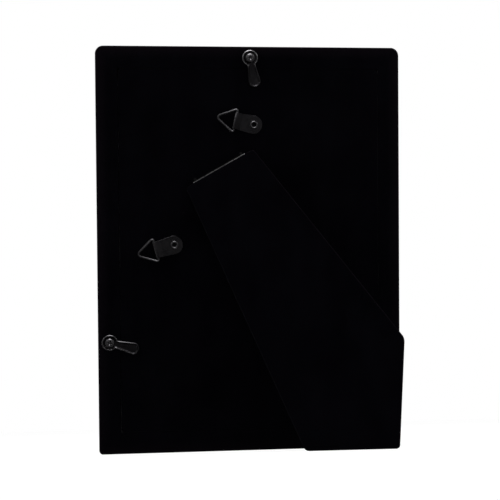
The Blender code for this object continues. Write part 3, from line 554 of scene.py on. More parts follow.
def arc(centre: Point, radius: float, start: float, end: float, steps: int) -> list[Point]:
    """Draw an arc.

    Args:
        centre: Its middle.
        radius: Its radius.
        start: The angle of its first point.
        end: The angle of its last point.
        steps: Segments between them.

    Returns:
        Its points, ends included.
    """
    angles = [start + (end - start) / steps * i for i in range(steps + 1)]
    x, y = centre
    return [(x + radius * cos(turn), y + radius * sin(turn)) for turn in angles]


def bulge(start: Point, reach: float, rise: float, steps: int) -> list[Point]:
    """Return points along X that rise to the middle and fall back, ends included."""
    shares = [i / steps for i in range(steps + 1)]
    return [(start[0] + reach * share, start[1] + rise * sin(pi * share)) for share in shares]


def placed(name: str, data: ID) -> Object:
    """Put a new object into the scene.

    Args:
        name: Its name.
        data: Its mesh, curve, lamp or camera.

    Returns:
        The object.
    """
    thing = bpy.data.objects.new(name, data)
    bpy.context.scene.collection.objects.link(thing)
    return thing


def meshed(name: str, bm: BMesh, place: Matrix) -> Object:
    """Put a mesh into the scene, on an object that stays at the origin.

    Args:
        name: The object's name.
        bm: Its mesh, which is freed.
        place: The matrix that moves the mesh to its place.

    Returns:
        The object.
    """
    bmesh.ops.transform(bm, matrix=place, verts=bm.verts)
    mesh = bpy.data.meshes.new(name)
    bm.to_mesh(mesh)
    bm.free()
    return placed(name, mesh)


def baked(thing: Object) -> Mesh:
    """Make a mesh of an object as it shows.

    Args:
        thing: The object, with its modifiers or its curve.

    Returns:
        The new mesh.
    """
    graph = bpy.context.evaluated_depsgraph_get()
    graph.update()
    return bpy.data.meshes.new_from_object(thing.evaluated_get(graph))


def piece(
    name: str, bm: BMesh, place: Matrix, material: Material, sharp: float = 40.0
) -> Object:
    """Turn a mesh into a dressed and shaded object at the origin.

    Args:
        name: The piece's name.
        bm: Its mesh, which is freed.
        place: The matrix from the fitting's own space to the row frame.
        material: Its finish.
        sharp: Edges sharper than this many degrees stay hard.

    Returns:
        The new object.
    """
    thing = meshed(name, bm, place)
    thing.data.materials.append(material)
    thing.data.shade_smooth()
    thing.data.set_sharp_from_angle(angle=radians(sharp))
    return thing


def carve(thing: Object, cutter: BMesh, place: Matrix, how: Carve = Carve.CUT) -> None:
    """Cut a piece and bake the result.

    Args:
        thing: The piece.
        cutter: The cutter's mesh, which is freed.
        place: The matrix from the cutter's space to the row frame.
        how: Whether the cutter takes away, or keeps what lies inside it.
    """
    bmesh.ops.recalc_face_normals(cutter, faces=cutter.faces)
    tool = meshed("cutter", cutter, place)
    modifier = thing.modifiers.new("carve", "BOOLEAN")
    modifier.operation = how.value
    modifier.solver = "EXACT"
    modifier.object = tool
    settle(thing)
    bpy.data.meshes.remove(tool.data)


def settle(thing: Object) -> None:
    """Bake a piece's modifiers into its mesh.

    Args:
        thing: The piece.
    """
    old = thing.data
    thing.data = baked(thing)
    thing.modifiers.clear()
    bpy.data.meshes.remove(old)
    thing.data.name = thing.name


def soften(thing: Object, width: float, steps: int = 3) -> None:
    """Round the sharp edges of a piece with a live Bevel, shaded by face area.

    Args:
        thing: The piece.
        width: How far the rounding reaches.
        steps: Segments across it.
    """
    rounding = thing.modifiers.new("soft_edges", "BEVEL")
    rounding.width = width
    rounding.segments = steps
    rounding.limit_method = "ANGLE"
    rounding.angle_limit = SOFTENED_ANGLE
    rounding.harden_normals = False
    normals = thing.modifiers.new("face_area_normals", "WEIGHTED_NORMAL")
    normals.keep_sharp = False


def paint_light_and_wear(bm: BMesh, rule: Callable[[Vector], float]) -> None:
    """Store how much each point is lightened: painted highlights and sheen, and wear at the wire's
    corners.

    Args:
        bm: The mesh.
        rule: Gives the lightening at a place, which is held to 0 to 1.
    """
    layer = bm.verts.layers.float.new(PAINTED_LIGHT_AND_WEAR)
    for vert in bm.verts:
        vert[layer] = min(max(rule(vert.co), 0.0), 1.0)


def make_whole(bm: BMesh) -> None:
    """Join the faces that lie in one plane."""
    bmesh.ops.dissolve_limit(bm, angle_limit=FLAT_ANGLE, verts=bm.verts, edges=bm.edges)


def copy_of(node: str) -> BMesh:
    """Copy a CAD node's mesh, with its points merged and its flat faces whole again.

    Args:
        node: The node's name.

    Returns:
        The copy.
    """
    bm = bmesh.new()
    bm.from_mesh(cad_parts[node].data)
    bmesh.ops.remove_doubles(bm, verts=bm.verts, dist=WELD)
    make_whole(bm)
    return bm


def report(thing: Object, body: str, slot: Slot, *nodes: str) -> None:
    """Args:
        thing: The piece.
        body: The CAD body it rides on.
        slot: The record's slot for the piece; not used.
        *nodes: The CAD nodes that it stands for.
    """
    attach(thing, str(body))
    if nodes:
        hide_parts(*nodes)
    LOG.info("%s rides on %s with %d faces", thing.name, body, len(thing.data.polygons))


# Places


@dataclass(frozen=True)
class BackFace:
    """The frame's back: X right as seen from behind, Y up from the bottom edge, Z outwards.

    It places the fittings and sweeps sections round its rounded outline.
    """

    width: float = 0.153
    height: float = 0.203
    rim: float = 0.011
    top_corner: float = 0.004
    bottom_corner: float = 0.002
    least_corner: float = 0.0003
    corner_steps: int = 8
    lean: float = radians(9.5)
    shift_y: float = 0.024335
    shift_z: float = -0.000198
    button_inset: float = 0.0058
    top_button_x: float = 0.0004
    side_button_share: float = 0.2757

    def matrix(self) -> Matrix:
        """Return the matrix from the back face to the row frame."""
        shift = Matrix.Translation((0.0, self.shift_y, self.shift_z))
        return shift @ Matrix.Rotation(QUARTER + self.lean, 4, "X")

    def at(self, x: float, y: float, degrees: float) -> Matrix:
        """Return the matrix of a fitting that sits on the back face, turned on it."""
        turn = Matrix.Rotation(radians(degrees), 4, "Z")
        return self.matrix() @ Matrix.Translation((x, y, 0.0)) @ turn

    def swept(self, section: list[Point]) -> BMesh:
        """Sweep a closed section of inset and depth round the outline.

        Args:
            section: Points of inset from the outline and depth below the back face.

        Returns:
            The closed mesh, with its length and girth in a UV map.
        """
        inset, depth = section[0]
        x, y = self.width / 2 - inset, self.height / 2 - inset
        low, high = self.radius(inset, -y), self.radius(inset, y)
        corners = [(-x, -y), (x, -y), (x, y), (-x, y)]
        bm = bmesh.new()
        rounded_face(bm, corners, [low, low, high, high], self.corner_steps)
        bmesh.ops.translate(bm, verts=bm.verts, vec=(0.0, 0.0, -depth))
        bmesh.ops.delete(bm, geom=bm.faces[:], context="FACES_ONLY")
        first = ring = bm.edges[:]
        for before, after in zip(section, section[1:]):
            grown = bmesh.ops.extrude_edge_only(bm, edges=ring)
            for vert in of_kind(grown, BMVert):
                middle, radius = self.corner(before[0], vert.co)
                next_middle, next_radius = self.corner(after[0], vert.co)
                place = next_middle + (vert.co - middle) / radius * next_radius
                vert.co = (place.x, place.y, -after[1])
            ring = of_kind(grown, BMEdge)
        bmesh.ops.bridge_loops(bm, edges=first + ring)
        bmesh.ops.recalc_face_normals(bm, faces=bm.faces)
        self.lay_grain(bm)
        bmesh.ops.translate(bm, verts=bm.verts, vec=(0.0, self.height / 2, 0.0))
        return bm

    def radius(self, inset: float, height: float) -> float:
        """Return the rounding at one inset of a corner above or below the middle."""
        corner = self.top_corner if height > 0.0 else self.bottom_corner
        return max(corner - inset, self.least_corner)

    def corner(self, inset: float, point: Vector) -> tuple[Vector, float]:
        """Find the corner nearest to a point.

        Args:
            inset: How far inside the outline.
            point: The point, measured from the middle of the back.

        Returns:
            The middle of the corner's rounding, and its radius.
        """
        radius = self.radius(inset, point.y)
        x = copysign(self.width / 2 - inset - radius, point.x)
        return Vector((x, copysign(self.height / 2 - inset - radius, point.y), 0.0)), radius

    def lay_grain(self, bm: BMesh) -> None:
        """Write a UV map whose U runs along each side and V across it.

        Args:
            bm: The swept mesh, round the middle of the back.
        """
        layer = bm.loops.layers.uv.new("grain")
        half_width, half_height = self.width / 2, self.height / 2
        for face in bm.faces:
            centre = face.calc_center_median()
            upright = abs(centre.x) - half_width > abs(centre.y) - half_height
            for loop in face.loops:
                co = loop.vert.co
                along, across = (co.y, abs(co.x)) if upright else (co.x, abs(co.y))
                loop[layer].uv = (along, across - co.z)


# Sub-assemblies


@dataclass
class Rim:
    """The velvet that is drawn over the rim and folded round its sides."""

    back: BackFace
    finishes: Finishes
    thickness: float = 0.0005
    fold_radius: float = 0.0012
    wall_end: float = 0.0071
    pocket_round: float = 0.00022
    puff: float = 0.00008
    fold_steps: int = 8
    edge_steps: int = 4
    sheen_reach: float = 0.006
    lower_share: float = 0.6

    def section(self) -> list[Point]:
        """Draw the closed section of the velvet.

        Returns:
            Points of inset and depth.
        """
        fold, thick, rim = self.fold_radius, self.thickness, self.back.rim
        outer = arc((fold, fold), fold, pi, 3 * QUARTER, self.fold_steps)
        inner = arc((fold, fold), fold - thick, 3 * QUARTER, pi, self.fold_steps)
        soft = self.pocket_round
        edge = arc((rim - soft, soft), soft, -QUARTER, 0.0, self.edge_steps)
        crown = bulge((fold, self.puff), rim - soft - fold, -self.puff, self.fold_steps)[1:-1]
        outer = [(x, max(y, 0.0)) for x, y in outer[:-1]] + [(fold, self.puff)]
        edge = [(x, y + self.puff) for x, y in edge]
        points = [(0.0, self.wall_end), (0.0, self.wall_end / 2)] + outer + crown + edge
        return points + [(rim, thick)] + inner + [(thick, self.wall_end)]

    def wear_and_painted_light(self, point: Vector) -> float:
        """Tell how much painted sheen lightens the pile: most at the edges but the lower one.

        Args:
            point: A place on the velvet.

        Returns:
            The share of painted sheen, before it is held to 0 to 1.
        """
        inset = min(self.back.width / 2 - abs(point.x), self.back.height - point.y)
        share = 1.0 if point.y > self.back.height / 2 else self.lower_share
        return share * (1.0 - inset / self.sheen_reach)

    def build(self) -> None:
        bm = self.back.swept(self.section())
        # Painted sheen: the velvet is lightened towards the rim's edges, less at the lower one.
        paint_light_and_wear(bm, self.wear_and_painted_light)
        cover = piece("rim_cover", bm, self.back.matrix(), self.finishes.velvet, sharp=50.0)
        report(cover, Body.FRAME, Slot.VELVET, "rim_velvet")


@dataclass
class Moulding:
    """The drawn metal front: skirt, quirk, cushion face, bead and sight lip."""

    back: BackFace
    finishes: Finishes
    depth: float = 0.0126
    sheet: float = 0.0006
    skirt: float = 0.0052
    edge_radius: float = 0.0012
    quirk: float = 0.0007
    cushion_rise: float = 0.0012
    bead_radius: float = 0.0008
    sight_lip: float = 0.0018
    pocket_play: float = 0.0005
    lip_depth: float = 0.0093
    cushion_steps: int = 20
    round_steps: int = 6

    def section(self) -> list[Point]:
        """Draw the closed section of the front.

        Returns:
            Points of inset and depth.
        """
        shoulder = self.depth - self.cushion_rise
        skirt_end = self.depth - self.skirt
        lip_front = self.lip_depth + self.sheet
        sight = self.back.rim + self.pocket_play + self.sight_lip
        bead = (sight - self.sight_lip, shoulder - self.bead_radius)
        edge = (self.edge_radius, shoulder - self.edge_radius)
        start = self.edge_radius + self.quirk
        face = bead[0] - self.bead_radius - start
        cushion = bulge((start, shoulder), face, self.cushion_rise, self.cushion_steps)
        outer = [(0.0, skirt_end)]
        outer += arc(edge, self.edge_radius, pi, QUARTER, self.round_steps)
        rolled = arc(bead, self.bead_radius, QUARTER, 0.0, self.round_steps)
        lip = [(bead[0] + self.bead_radius, lip_front), (sight, lip_front), (sight, self.lip_depth)]
        under = [(bead[0], self.lip_depth), bead]
        under += [(inset, depth - self.sheet) for inset, depth in reversed(cushion)]
        under += arc(edge, self.edge_radius - self.sheet, QUARTER, pi, self.round_steps)
        return outer + cushion + rolled + lip + under + [(self.sheet, skirt_end)]

    def build(self) -> None:
        """Make the metal front."""
        bm = self.back.swept(self.section())
        front = piece("metal_front", bm, self.back.matrix(), self.finishes.silver, sharp=38.0)
        report(front, Body.FRAME, Slot.SILVER, "front_moulding")


@dataclass
class Panel:
    """The lift-out back panel's velvet, and the plain pieces inside the frame."""

    back: BackFace
    finishes: Finishes
    edge_round: float = 0.0002
    edge_pile: float = 0.0002
    flat: Point = (0.1302, 0.1802)

    def build(self) -> None:
        """Make the panel's velvet and dress the CAD pieces of the frame."""
        bm = copy_of("back_velvet")
        self.fluff(bm)
        cover = piece("panel_cover", bm, self.back.matrix(), self.finishes.velvet)
        soften(cover, self.edge_round)
        report(cover, Body.FRAME, Slot.VELVET, "back_velvet")
        rails = [side + "_rail" for side in ("bottom", "right", "top", "left")]
        leaves = ("panel_rivet_", "strut_rivet_")
        rivets = [leaf + side for leaf in leaves for side in ("left", "right")]
        dressed = {
            self.finishes.board: (*rails, "back_panel", "strut_board"),
            self.finishes.card: ("backing_card",),
            self.finishes.paper: ("print_insert",),
            self.finishes.glass: ("glass_pane",),
            self.finishes.pin: ("hinge_pin",),
            self.finishes.steel: rivets,
        }
        for material, nodes in dressed.items():
            for node in nodes:
                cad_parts[node].material_slots[0].material = material
                LOG.info("%s is dressed in %s", node, material.name)

    def fluff(self, bm: BMesh) -> None:
        """Move the cloth into the back's own space and let its edges' pile fill the seam.

        Args:
            bm: The cloth's mesh.
        """
        bmesh.ops.transform(bm, matrix=self.back.matrix().inverted(), verts=bm.verts)
        for axis in range(2):
            places = [vert.co[axis] for vert in bm.verts]
            for end, step in ((min(places), -self.edge_pile), (max(places), self.edge_pile)):
                for vert in bm.verts:
                    if abs(vert.co[axis] - end) < self.edge_pile:
                        vert.co[axis] += step


@dataclass
class Strut:
    """The strut's velvet and the two leaves of its hinge."""

    finishes: Finishes
    edge_round: float = 0.0007
    edge_steps: int = 5
    edge_sheen: float = 0.7
    leaf_round: float = 0.00008
    flat: Point = (0.07, 0.165)
    area: float = 0.0098
    hinge_at: Triple = (-0.0152388, 0.0009553, 0.1395127)
    hinge_along: Triple = (0.872069, -0.080771, 0.482671)
    hinge_half: float = 0.0155
    end_from: float = 0.88
    inner: list[Vector] = field(default_factory=list)

    def from_middle(self, point: Vector) -> float:
        """Return how far a point lies from the hinge's middle, along its pin."""
        return (point - Vector(self.hinge_at)).dot(Vector(self.hinge_along))

    def wear_and_painted_light(self, point: Vector) -> float:
        """Tell how much painted sheen lightens the pile: only along the right edge's turn.

        Args:
            point: A place on the velvet.

        Returns:
            The share of painted sheen.
        """
        if self.from_middle(point) < 0.0:
            return 0.0
        on_flat = any((point - other).length < TOUCHING for other in self.inner)
        return 0.0 if on_flat else self.edge_sheen

    def painted_end_highlight(self, point: Vector) -> float:
        """Return the painted highlight on a hinge leaf: only at its two ends."""
        share = abs(self.from_middle(point)) / self.hinge_half
        return (share - self.end_from) / (1.0 - self.end_from)

    def build(self) -> None:
        """Make the strut's velvet and the hinge leaves."""
        bm = copy_of("strut_velvet")
        outside = max(bm.faces, key=lambda face: face.calc_area())
        facing = outside.normal.copy()
        bevel(bm, outside.edges[:], self.edge_round, self.edge_steps)
        flat = max(bm.faces, key=lambda face: face.calc_area() * face.normal.dot(facing))
        self.inner = [vert.co.copy() for vert in flat.verts]
        # Painted sheen: the velvet is lightened along the right edge's turn.
        paint_light_and_wear(bm, self.wear_and_painted_light)
        cover = piece("strut_cover", bm, Matrix(), self.finishes.velvet, sharp=50.0)
        report(cover, Body.STRUT, Slot.VELVET, "strut_velvet")
        for node, body in (("hinge_fixed_leaf", Body.FRAME), ("hinge_moving_leaf", Body.STRUT)):
            bm = copy_of(node)
            # Painted highlight: the steel is lightened at each leaf's two ends.
            paint_light_and_wear(bm, self.painted_end_highlight)
            leaf = piece(node + "_bright", bm, Matrix(), self.finishes.steel, sharp=35.0)
            soften(leaf, self.leaf_round, steps=2)
            report(leaf, body, Slot.STEEL, node)


@dataclass
class TurnButton:
    """A pressed turn button with a rolled rim, and the cross-recess screw it turns on."""

    name: str
    place: Matrix
    finishes: Finishes
    head_highlight: float = 0.45
    tongue_highlight: float = 0.06
    fade: float = 1.6
    fade_from: float = 0.7
    head: float = 0.00415
    neck: float = 0.0024
    neck_angle: float = radians(31.0)
    tongue: float = 0.0032
    reach: float = 0.015
    low: float = 0.0003
    rim_top: float = 0.0015
    floor: float = 0.0009
    shoulder: float = 0.00112
    bead: Triple = (0.0005, 0.0002, 0.00038)
    hole: float = 0.0016
    screw_seat: float = 0.0012
    screw_head: float = 0.00245
    screw_height: float = 0.0013
    screw_radius: float = 0.0013
    screw_length: float = 0.0075
    screw_point_share: float = 0.75
    screw_edge: float = 0.0001
    screw_edge_share: float = 0.94
    screw_round: float = 0.00004
    screw_head_highlight: float = 0.45
    dome_steps: int = 9
    dome_fullness: float = 0.5
    screw_sides: int = 40
    cross_long: float = 0.0017
    cross_wide: float = 0.00036
    cross_depth: float = 0.0009
    cross_taper: float = 0.3
    overrun: float = 0.0002
    sides: int = 24
    smoothness: int = 2
    middle_band: Point = (0.5, 0.9)
    middle_columns: float = 0.7

    def rows(self) -> list[Triple]:
        """List the rows of the tongue, from the neck to the tip.

        Returns:
            Half width, distance and tip rounding of each row.
        """
        return [
            (self.neck * 0.96, 0.31 * self.reach, 0.0),
            (self.neck * 1.02, 0.42 * self.reach, 0.0),
            (self.neck * 1.15, 0.58 * self.reach, 0.0),
            (self.tongue * 0.98, 0.74 * self.reach, 0.0),
            (self.tongue, 0.83 * self.reach, 0.0),
            (self.tongue * 0.95, 0.91 * self.reach, 0.0003),
            (self.tongue * 0.62, self.reach, 0.0006),
        ]

    def plate(self) -> BMesh:
        """Press the plate: a round head drawn out into a tongue.

        Returns:
            Its mesh.
        """
        bm = bmesh.new()
        bmesh.ops.create_circle(bm, cap_ends=True, segments=self.sides, radius=self.head)
        low_side = -self.head * cos(self.neck_angle)
        ring = [edge for edge in bm.edges if all(vert.co.y < low_side for vert in edge.verts)]
        for half, distance, droop in self.rows():
            grown = bmesh.ops.extrude_edge_only(bm, edges=ring)
            verts, ring = of_kind(grown, BMVert), of_kind(grown, BMEdge)
            reach = max(vert.co.x for vert in verts)
            for vert in verts:
                share = vert.co.x / reach
                if self.middle_band[0] < abs(share) < self.middle_band[1]:
                    share *= self.middle_columns
                vert.co = (share * half, droop * share * share - distance, 0.0)
        bmesh.ops.translate(bm, verts=bm.verts, vec=(0.0, 0.0, self.low))
        top, _ = lift(bm, self.shoulder - self.low)
        bmesh.ops.recalc_face_normals(bm, faces=bm.faces)
        heights = (self.shoulder, self.rim_top, self.rim_top, self.floor)
        for width, before, after in zip(self.bead, heights, heights[1:]):
            bmesh.ops.inset_region(
                bm, faces=top, thickness=width, use_even_offset=True, use_boundary=True
            )
            inner = list({vert for face in top for vert in face.verts})
            bmesh.ops.translate(bm, verts=inner, vec=(0.0, 0.0, after - before))
        self.pierce(bm)
        # Painted highlight: the bead is lightened, most at the head, the sunk floor not.
        paint_light_and_wear(bm, self.bead_highlight)
        return bm

    def bead_highlight(self, point: Vector) -> float:
        """Tell how much painted highlight brightens the plate: its bead most at the head, its floor
        not.

        Args:
            point: A place on the plate.

        Returns:
            The share of painted highlight.
        """
        bead = min(abs(point.z - self.floor) / (self.shoulder - self.floor), 1.0)
        start = self.fade_from * self.head
        along = (-point.y - start) / (self.reach - start)
        share = min(max(along * self.fade, 0.0), 1.0)
        return bead * (self.head_highlight + (self.tongue_highlight - self.head_highlight) * share)

    def pierce(self, bm: BMesh) -> None:
        """Open the screw's hole through the middle of the head.

        Args:
            bm: The plate's mesh.
        """
        discs = [face for face in bm.faces if len(face.verts) == self.sides]
        for face in discs:
            bmesh.ops.inset_individual(bm, faces=[face], thickness=self.hole / 2)
            for vert in face.verts:
                vert.co.xy = vert.co.xy.normalized() * self.hole
        edges = [edge for face in discs for edge in face.edges]
        bmesh.ops.delete(bm, geom=discs, context="FACES_ONLY")
        bmesh.ops.bridge_loops(bm, edges=edges)
        bmesh.ops.recalc_face_normals(bm, faces=bm.faces)

    def screw(self) -> BMesh:
        """Turn the pan head screw.

        Returns:
            Its mesh.
        """
        seat, head, radius = self.screw_seat, self.screw_head, self.screw_radius
        profile = [(0.0, -self.screw_length), (radius, -self.screw_point_share * self.screw_length)]
        profile += [(radius, seat), (head * self.screw_edge_share, seat)]
        profile.append((head, seat + self.screw_edge))
        for i in range(1, self.dome_steps):
            angle = QUARTER * i / self.dome_steps
            rise = self.screw_height * sin(angle)
            profile.append((head * cos(angle) ** self.dome_fullness, seat + rise))
        profile.append((0.0, seat + self.screw_height))
        bm = turned(profile, self.screw_sides)
        # Painted highlight: the screw's head above its seat is lightened.
        paint_light_and_wear(bm, lambda point: self.screw_head_highlight if point.z > seat else 0.0)
        return bm

    def cross(self) -> BMesh:
        """Shape the tapered cross that is pressed into the screw's head.

        Returns:
            The cutter's mesh.
        """
        top = self.screw_seat + self.screw_height + self.overrun
        long, wide = self.cross_long, self.cross_wide
        outline = []
        for side in range(4):
            turn = Matrix.Rotation(side * QUARTER, 3, "Z")
            corners = ((long, -wide, top), (long, wide, top), (wide, wide, top))
            outline += [turn @ Vector(corner) for corner in corners]
        bm = bmesh.new()
        bm.faces.new([bm.verts.new(point) for point in outline])
        _, sunk = lift(bm, -self.cross_depth)
        bmesh.ops.scale(bm, verts=sunk, vec=(self.cross_taper, self.cross_taper, 1.0))
        # Painted highlight: the cross recess's walls, cut from this mesh, are fully lightened.
        paint_light_and_wear(bm, lambda point: 1.0)
        return bm

    def build(self) -> None:
        """Make the button and its screw."""
        metal = self.finishes.gunmetal
        plate = piece(self.name + "_button_plate", self.plate(), self.place, metal, sharp=180.0)
        surface = plate.modifiers.new("smooth_surface", "SUBSURF")
        surface.levels = surface.render_levels = self.smoothness
        report(plate, self.name + "_turn_button", Slot.GUNMETAL, self.name + "_button")
        screw = piece(self.name + "_button_pan_screw", self.screw(), self.place, metal)
        carve(screw, self.cross(), self.place)
        soften(screw, self.screw_round, steps=2)
        report(screw, Body.FRAME, Slot.GUNMETAL, self.name + "_button_screw")


@dataclass
class Hanger:
    """A folded strap on its hollow eyelet, with a triangle of wire in the fold."""

    name: str
    place: Matrix
    finishes: Finishes
    low: float = 0.0003
    sheet: float = 0.0004
    slit: float = 0.00015
    width: float = 0.0092
    fold_width: float = 0.0082
    tail: float = 0.0042
    tail_round_share: float = 0.98
    tail_steps: int = 14
    to_wire: float = 0.0094
    wire: float = 0.0006
    wire_play: float = 0.00015
    wire_steps: int = 5
    curl_arc: float = radians(216.0)
    curl_steps: int = 22
    return_share: float = 2.6
    ring_base: float = 0.0122
    ring_reach: float = 0.0103
    point_radius: float = 0.0016
    corner_radius: float = 0.0009
    corner_steps: int = 12
    butt_gap: float = 0.0005
    shank: float = 0.0013
    shank_play: float = 0.0003
    bore: float = 0.0011
    bore_taper: float = 0.9
    flange: float = 0.002
    flange_thickness: float = 0.00045
    flange_seat: float = 0.0002
    flange_fullness: float = 0.7
    flange_steps: int = 12
    shank_end: float = -0.0035
    end_wall: float = -0.003
    hole_sides: int = 32
    hole_top: float = 0.004
    plan_reach: float = 2.0
    plan_height: float = 3.0
    eyelet_sides: int = 40
    eyelet_flange_highlight: float = 0.45
    edge_round: float = 0.00008
    sharp_angle: float = radians(40.0)
    flat_area: float = 0.000005
    strap_flat_highlight: float = 0.06
    fold_highlight: float = 0.3
    fold_band_share: float = 0.7
    wear_and_glint_reach: float = 0.0014
    wear_and_glint_at: Point = (0.0008, 0.001)

    @property
    def curl(self) -> float:
        """Return the outer radius of the fold round the wire."""
        return self.wire + self.wire_play + self.sheet

    @property
    def wire_height(self) -> float:
        """Return the height of the wire's middle above the velvet."""
        return self.low + self.curl

    @property
    def strap_top(self) -> float:
        """Return the height of the strap's upper face."""
        return self.low + 2 * self.sheet + self.slit

    @property
    def ring_slope(self) -> float:
        """Return half the angle at the ring's point."""
        return atan2(self.ring_base / 2, self.ring_reach)

    def strap(self) -> Object:
        """Fold the strap from a sheet, cut it to its plan and open the eyelet's hole.

        Returns:
            The piece.
        """
        lower, upper = self.low + self.sheet / 2, self.strap_top - self.sheet / 2
        bend, end = self.curl - self.sheet / 2, self.curl_arc - QUARTER
        middle = (self.to_wire, self.wire_height)
        path = [(-self.tail, lower)] + arc(middle, bend, -QUARTER, end, self.curl_steps)
        path += [(self.to_wire - self.curl * self.return_share, upper), (-self.tail, upper)]
        bm = bmesh.new()
        half = self.width / 2
        edges = chain(bm, path, -half)
        moved = of_kind(bmesh.ops.extrude_edge_only(bm, edges=edges), BMVert)
        bmesh.ops.translate(bm, verts=moved, vec=(0.0, self.width, 0.0))
        bmesh.ops.recalc_face_normals(bm, faces=bm.faces)
        metal = self.finishes.gunmetal
        strap = piece(self.name + "_hanger_plate", bm, self.place, metal, sharp=32.0)
        wall = strap.modifiers.new("sheet", "SOLIDIFY")
        wall.thickness = self.sheet
        wall.offset = 0.0
        settle(strap)
        fold, back = self.fold_width / 2, half - self.tail
        neck, end = self.to_wire - self.curl, self.to_wire + self.plan_reach * self.curl
        corners = [(-self.tail, -half), (back, -half), (neck, -fold), (end, -fold)]
        corners += [(x, -y) for x, y in reversed(corners)]
        radius = half * self.tail_round_share
        bm = bmesh.new()
        rounded_face(bm, corners, [radius] + [0.0] * 6 + [radius], self.tail_steps)
        bmesh.ops.translate(bm, verts=bm.verts, vec=(0.0, 0.0, -self.sheet))
        lift(bm, self.sheet + self.plan_height * self.curl)
        carve(strap, bm, self.place, Carve.KEEP)
        hole, top = self.shank + self.shank_play, self.hole_top
        profile = [(0.0, -self.sheet), (hole, -self.sheet), (hole, top), (0.0, top)]
        carve(strap, turned(profile, self.hole_sides), self.place)
        self.rub(strap)
        return strap

    def strap_highlight(self, point: Vector) -> float:
        """Tell how much painted highlight brightens the strap: most past the wire, round the fold's
        turn.

        Args:
            point: A place on the strap, in the row frame.

        Returns:
            The share of painted highlight.
        """
        past = (self.place.inverted() @ point).x - self.to_wire
        share = min(max(past / (self.fold_band_share * self.curl), 0.0), 1.0)
        return self.strap_flat_highlight + self.fold_highlight * share

    def rub(self, strap: Object) -> None:
        """Round the strap's sharp edges, paint its highlight and shade its large faces flat.

        Args:
            strap: The piece.
        """
        bm = bmesh.new()
        bm.from_mesh(strap.data)
        make_whole(bm)
        sharp = [edge for edge in bm.edges if edge.calc_face_angle(0.0) > self.sharp_angle]
        bevel(bm, sharp, self.edge_round, steps=2)
        # Painted highlight: the strap is lightened a little all over and most round the fold.
        paint_light_and_wear(bm, self.strap_highlight)
        for face in bm.faces:
            face.smooth = face.calc_area() < self.flat_area
        bm.to_mesh(strap.data)
        bm.free()

    def eyelet(self) -> BMesh:
        """Turn the hollow eyelet with its rolled flange.

        Returns:
            Its mesh.
        """
        bore, low = self.bore, self.strap_top + self.flange_seat
        rolled = []
        for x, z in arc((0.0, 0.0), 1.0, 0.0, pi, self.flange_steps):
            across = (bore + self.flange) / 2 + x * (self.flange - bore) / 2
            rise = self.flange_thickness * max(z, 0.0) ** self.flange_fullness
            rolled.append((across, low + rise))
        profile = [(0.0, self.shank_end), (self.shank, self.shank_end), (self.shank, low)]
        profile += rolled[:-1] + [(bore, low), (bore * self.bore_taper, self.end_wall)]
        profile.append((0.0, self.end_wall))
        bm = turned(profile, self.eyelet_sides)
        outside = bore + TOUCHING
        # Painted highlight: the flange is lightened, the bore not.
        paint_light_and_wear(bm, lambda point: self.eyelet_flange_highlight if point.xy.length > outside else 0.0)
        return bm

    def ring_path(self) -> list[Vector]:
        """Draw the middle line of the wire triangle.

        Returns:
            Its points, from one butt end to the other.
        """
        half, gap, slope = self.ring_base / 2, self.butt_gap / 2, self.ring_slope
        cut = self.corner_radius / tan((QUARTER - slope) / 2)
        radii = [cut, self.point_radius / tan(slope), cut]
        points = [(0.0, half), (self.ring_reach, 0.0), (0.0, -half)]
        bm = bmesh.new()
        rounded_face(bm, points, radii, self.corner_steps)
        loop = [vert.co.copy() for vert in bm.faces[:][0].verts]
        bm.free()
        start = min(range(len(loop)), key=lambda i: (loop[i].x > WELD, loop[i].y))
        loop = loop[start:] + loop[:start]
        if loop[1].x < WELD:
            loop = [loop[0]] + loop[:0:-1]
        return [Vector((0.0, -gap, 0.0))] + loop + [Vector((0.0, gap, 0.0))]

    def ring(self) -> BMesh:
        """Draw the wire triangle as one tube along its path.

        Returns:
            Its mesh.
        """
        path = self.ring_path()
        data = bpy.data.curves.new("wire", "CURVE")
        data.dimensions = "3D"
        data.bevel_depth = self.wire
        data.bevel_resolution = self.wire_steps
        data.use_fill_caps = True
        spline = data.splines.new("POLY")
        spline.points.add(len(path) - 1)
        for target, point in zip(spline.points, path):
            target.co = (*point, 1.0)
        mesh = baked(placed("wire", data))
        tube = bmesh.new()
        tube.from_mesh(mesh)
        bmesh.ops.remove_doubles(tube, verts=tube.verts, dist=TOUCHING)
        bmesh.ops.recalc_face_normals(tube, faces=tube.faces)
        # The corners beside the fold are lightened: wear where the wire rubs, and a painted glint.
        paint_light_and_wear(tube, self.corner_wear_and_glint)
        bpy.data.curves.remove(data)
        bpy.data.meshes.remove(mesh)
        return tube

    def corner_wear_and_glint(self, point: Vector) -> float:
        """Tell how bright the wire is at the two corners beside the fold: wear where it rubs, and a
        painted glint.

        Args:
            point: A place on the wire.

        Returns:
            The wear and painted glint, before it is held to 0 to 1.
        """
        x, inset = self.wear_and_glint_at
        corner = Vector((x, self.ring_base / 2 - inset, self.wire))
        away = (Vector((point.x, abs(point.y), point.z)) - corner).length
        return 1.0 - away / self.wear_and_glint_reach

    def ring_place(self) -> Matrix:
        """Find the place of the ring, which droops until its point rests on the velvet.

        Returns:
            The matrix from the ring to the row frame.
        """
        reach = self.ring_reach - self.point_radius * (1 / sin(self.ring_slope) - 1)
        droop = asin((self.wire_height - self.wire - self.low) / reach)
        shift = Matrix.Translation((self.to_wire, 0.0, self.wire_height))
        return self.place @ shift @ Matrix.Rotation(droop, 4, "Y")

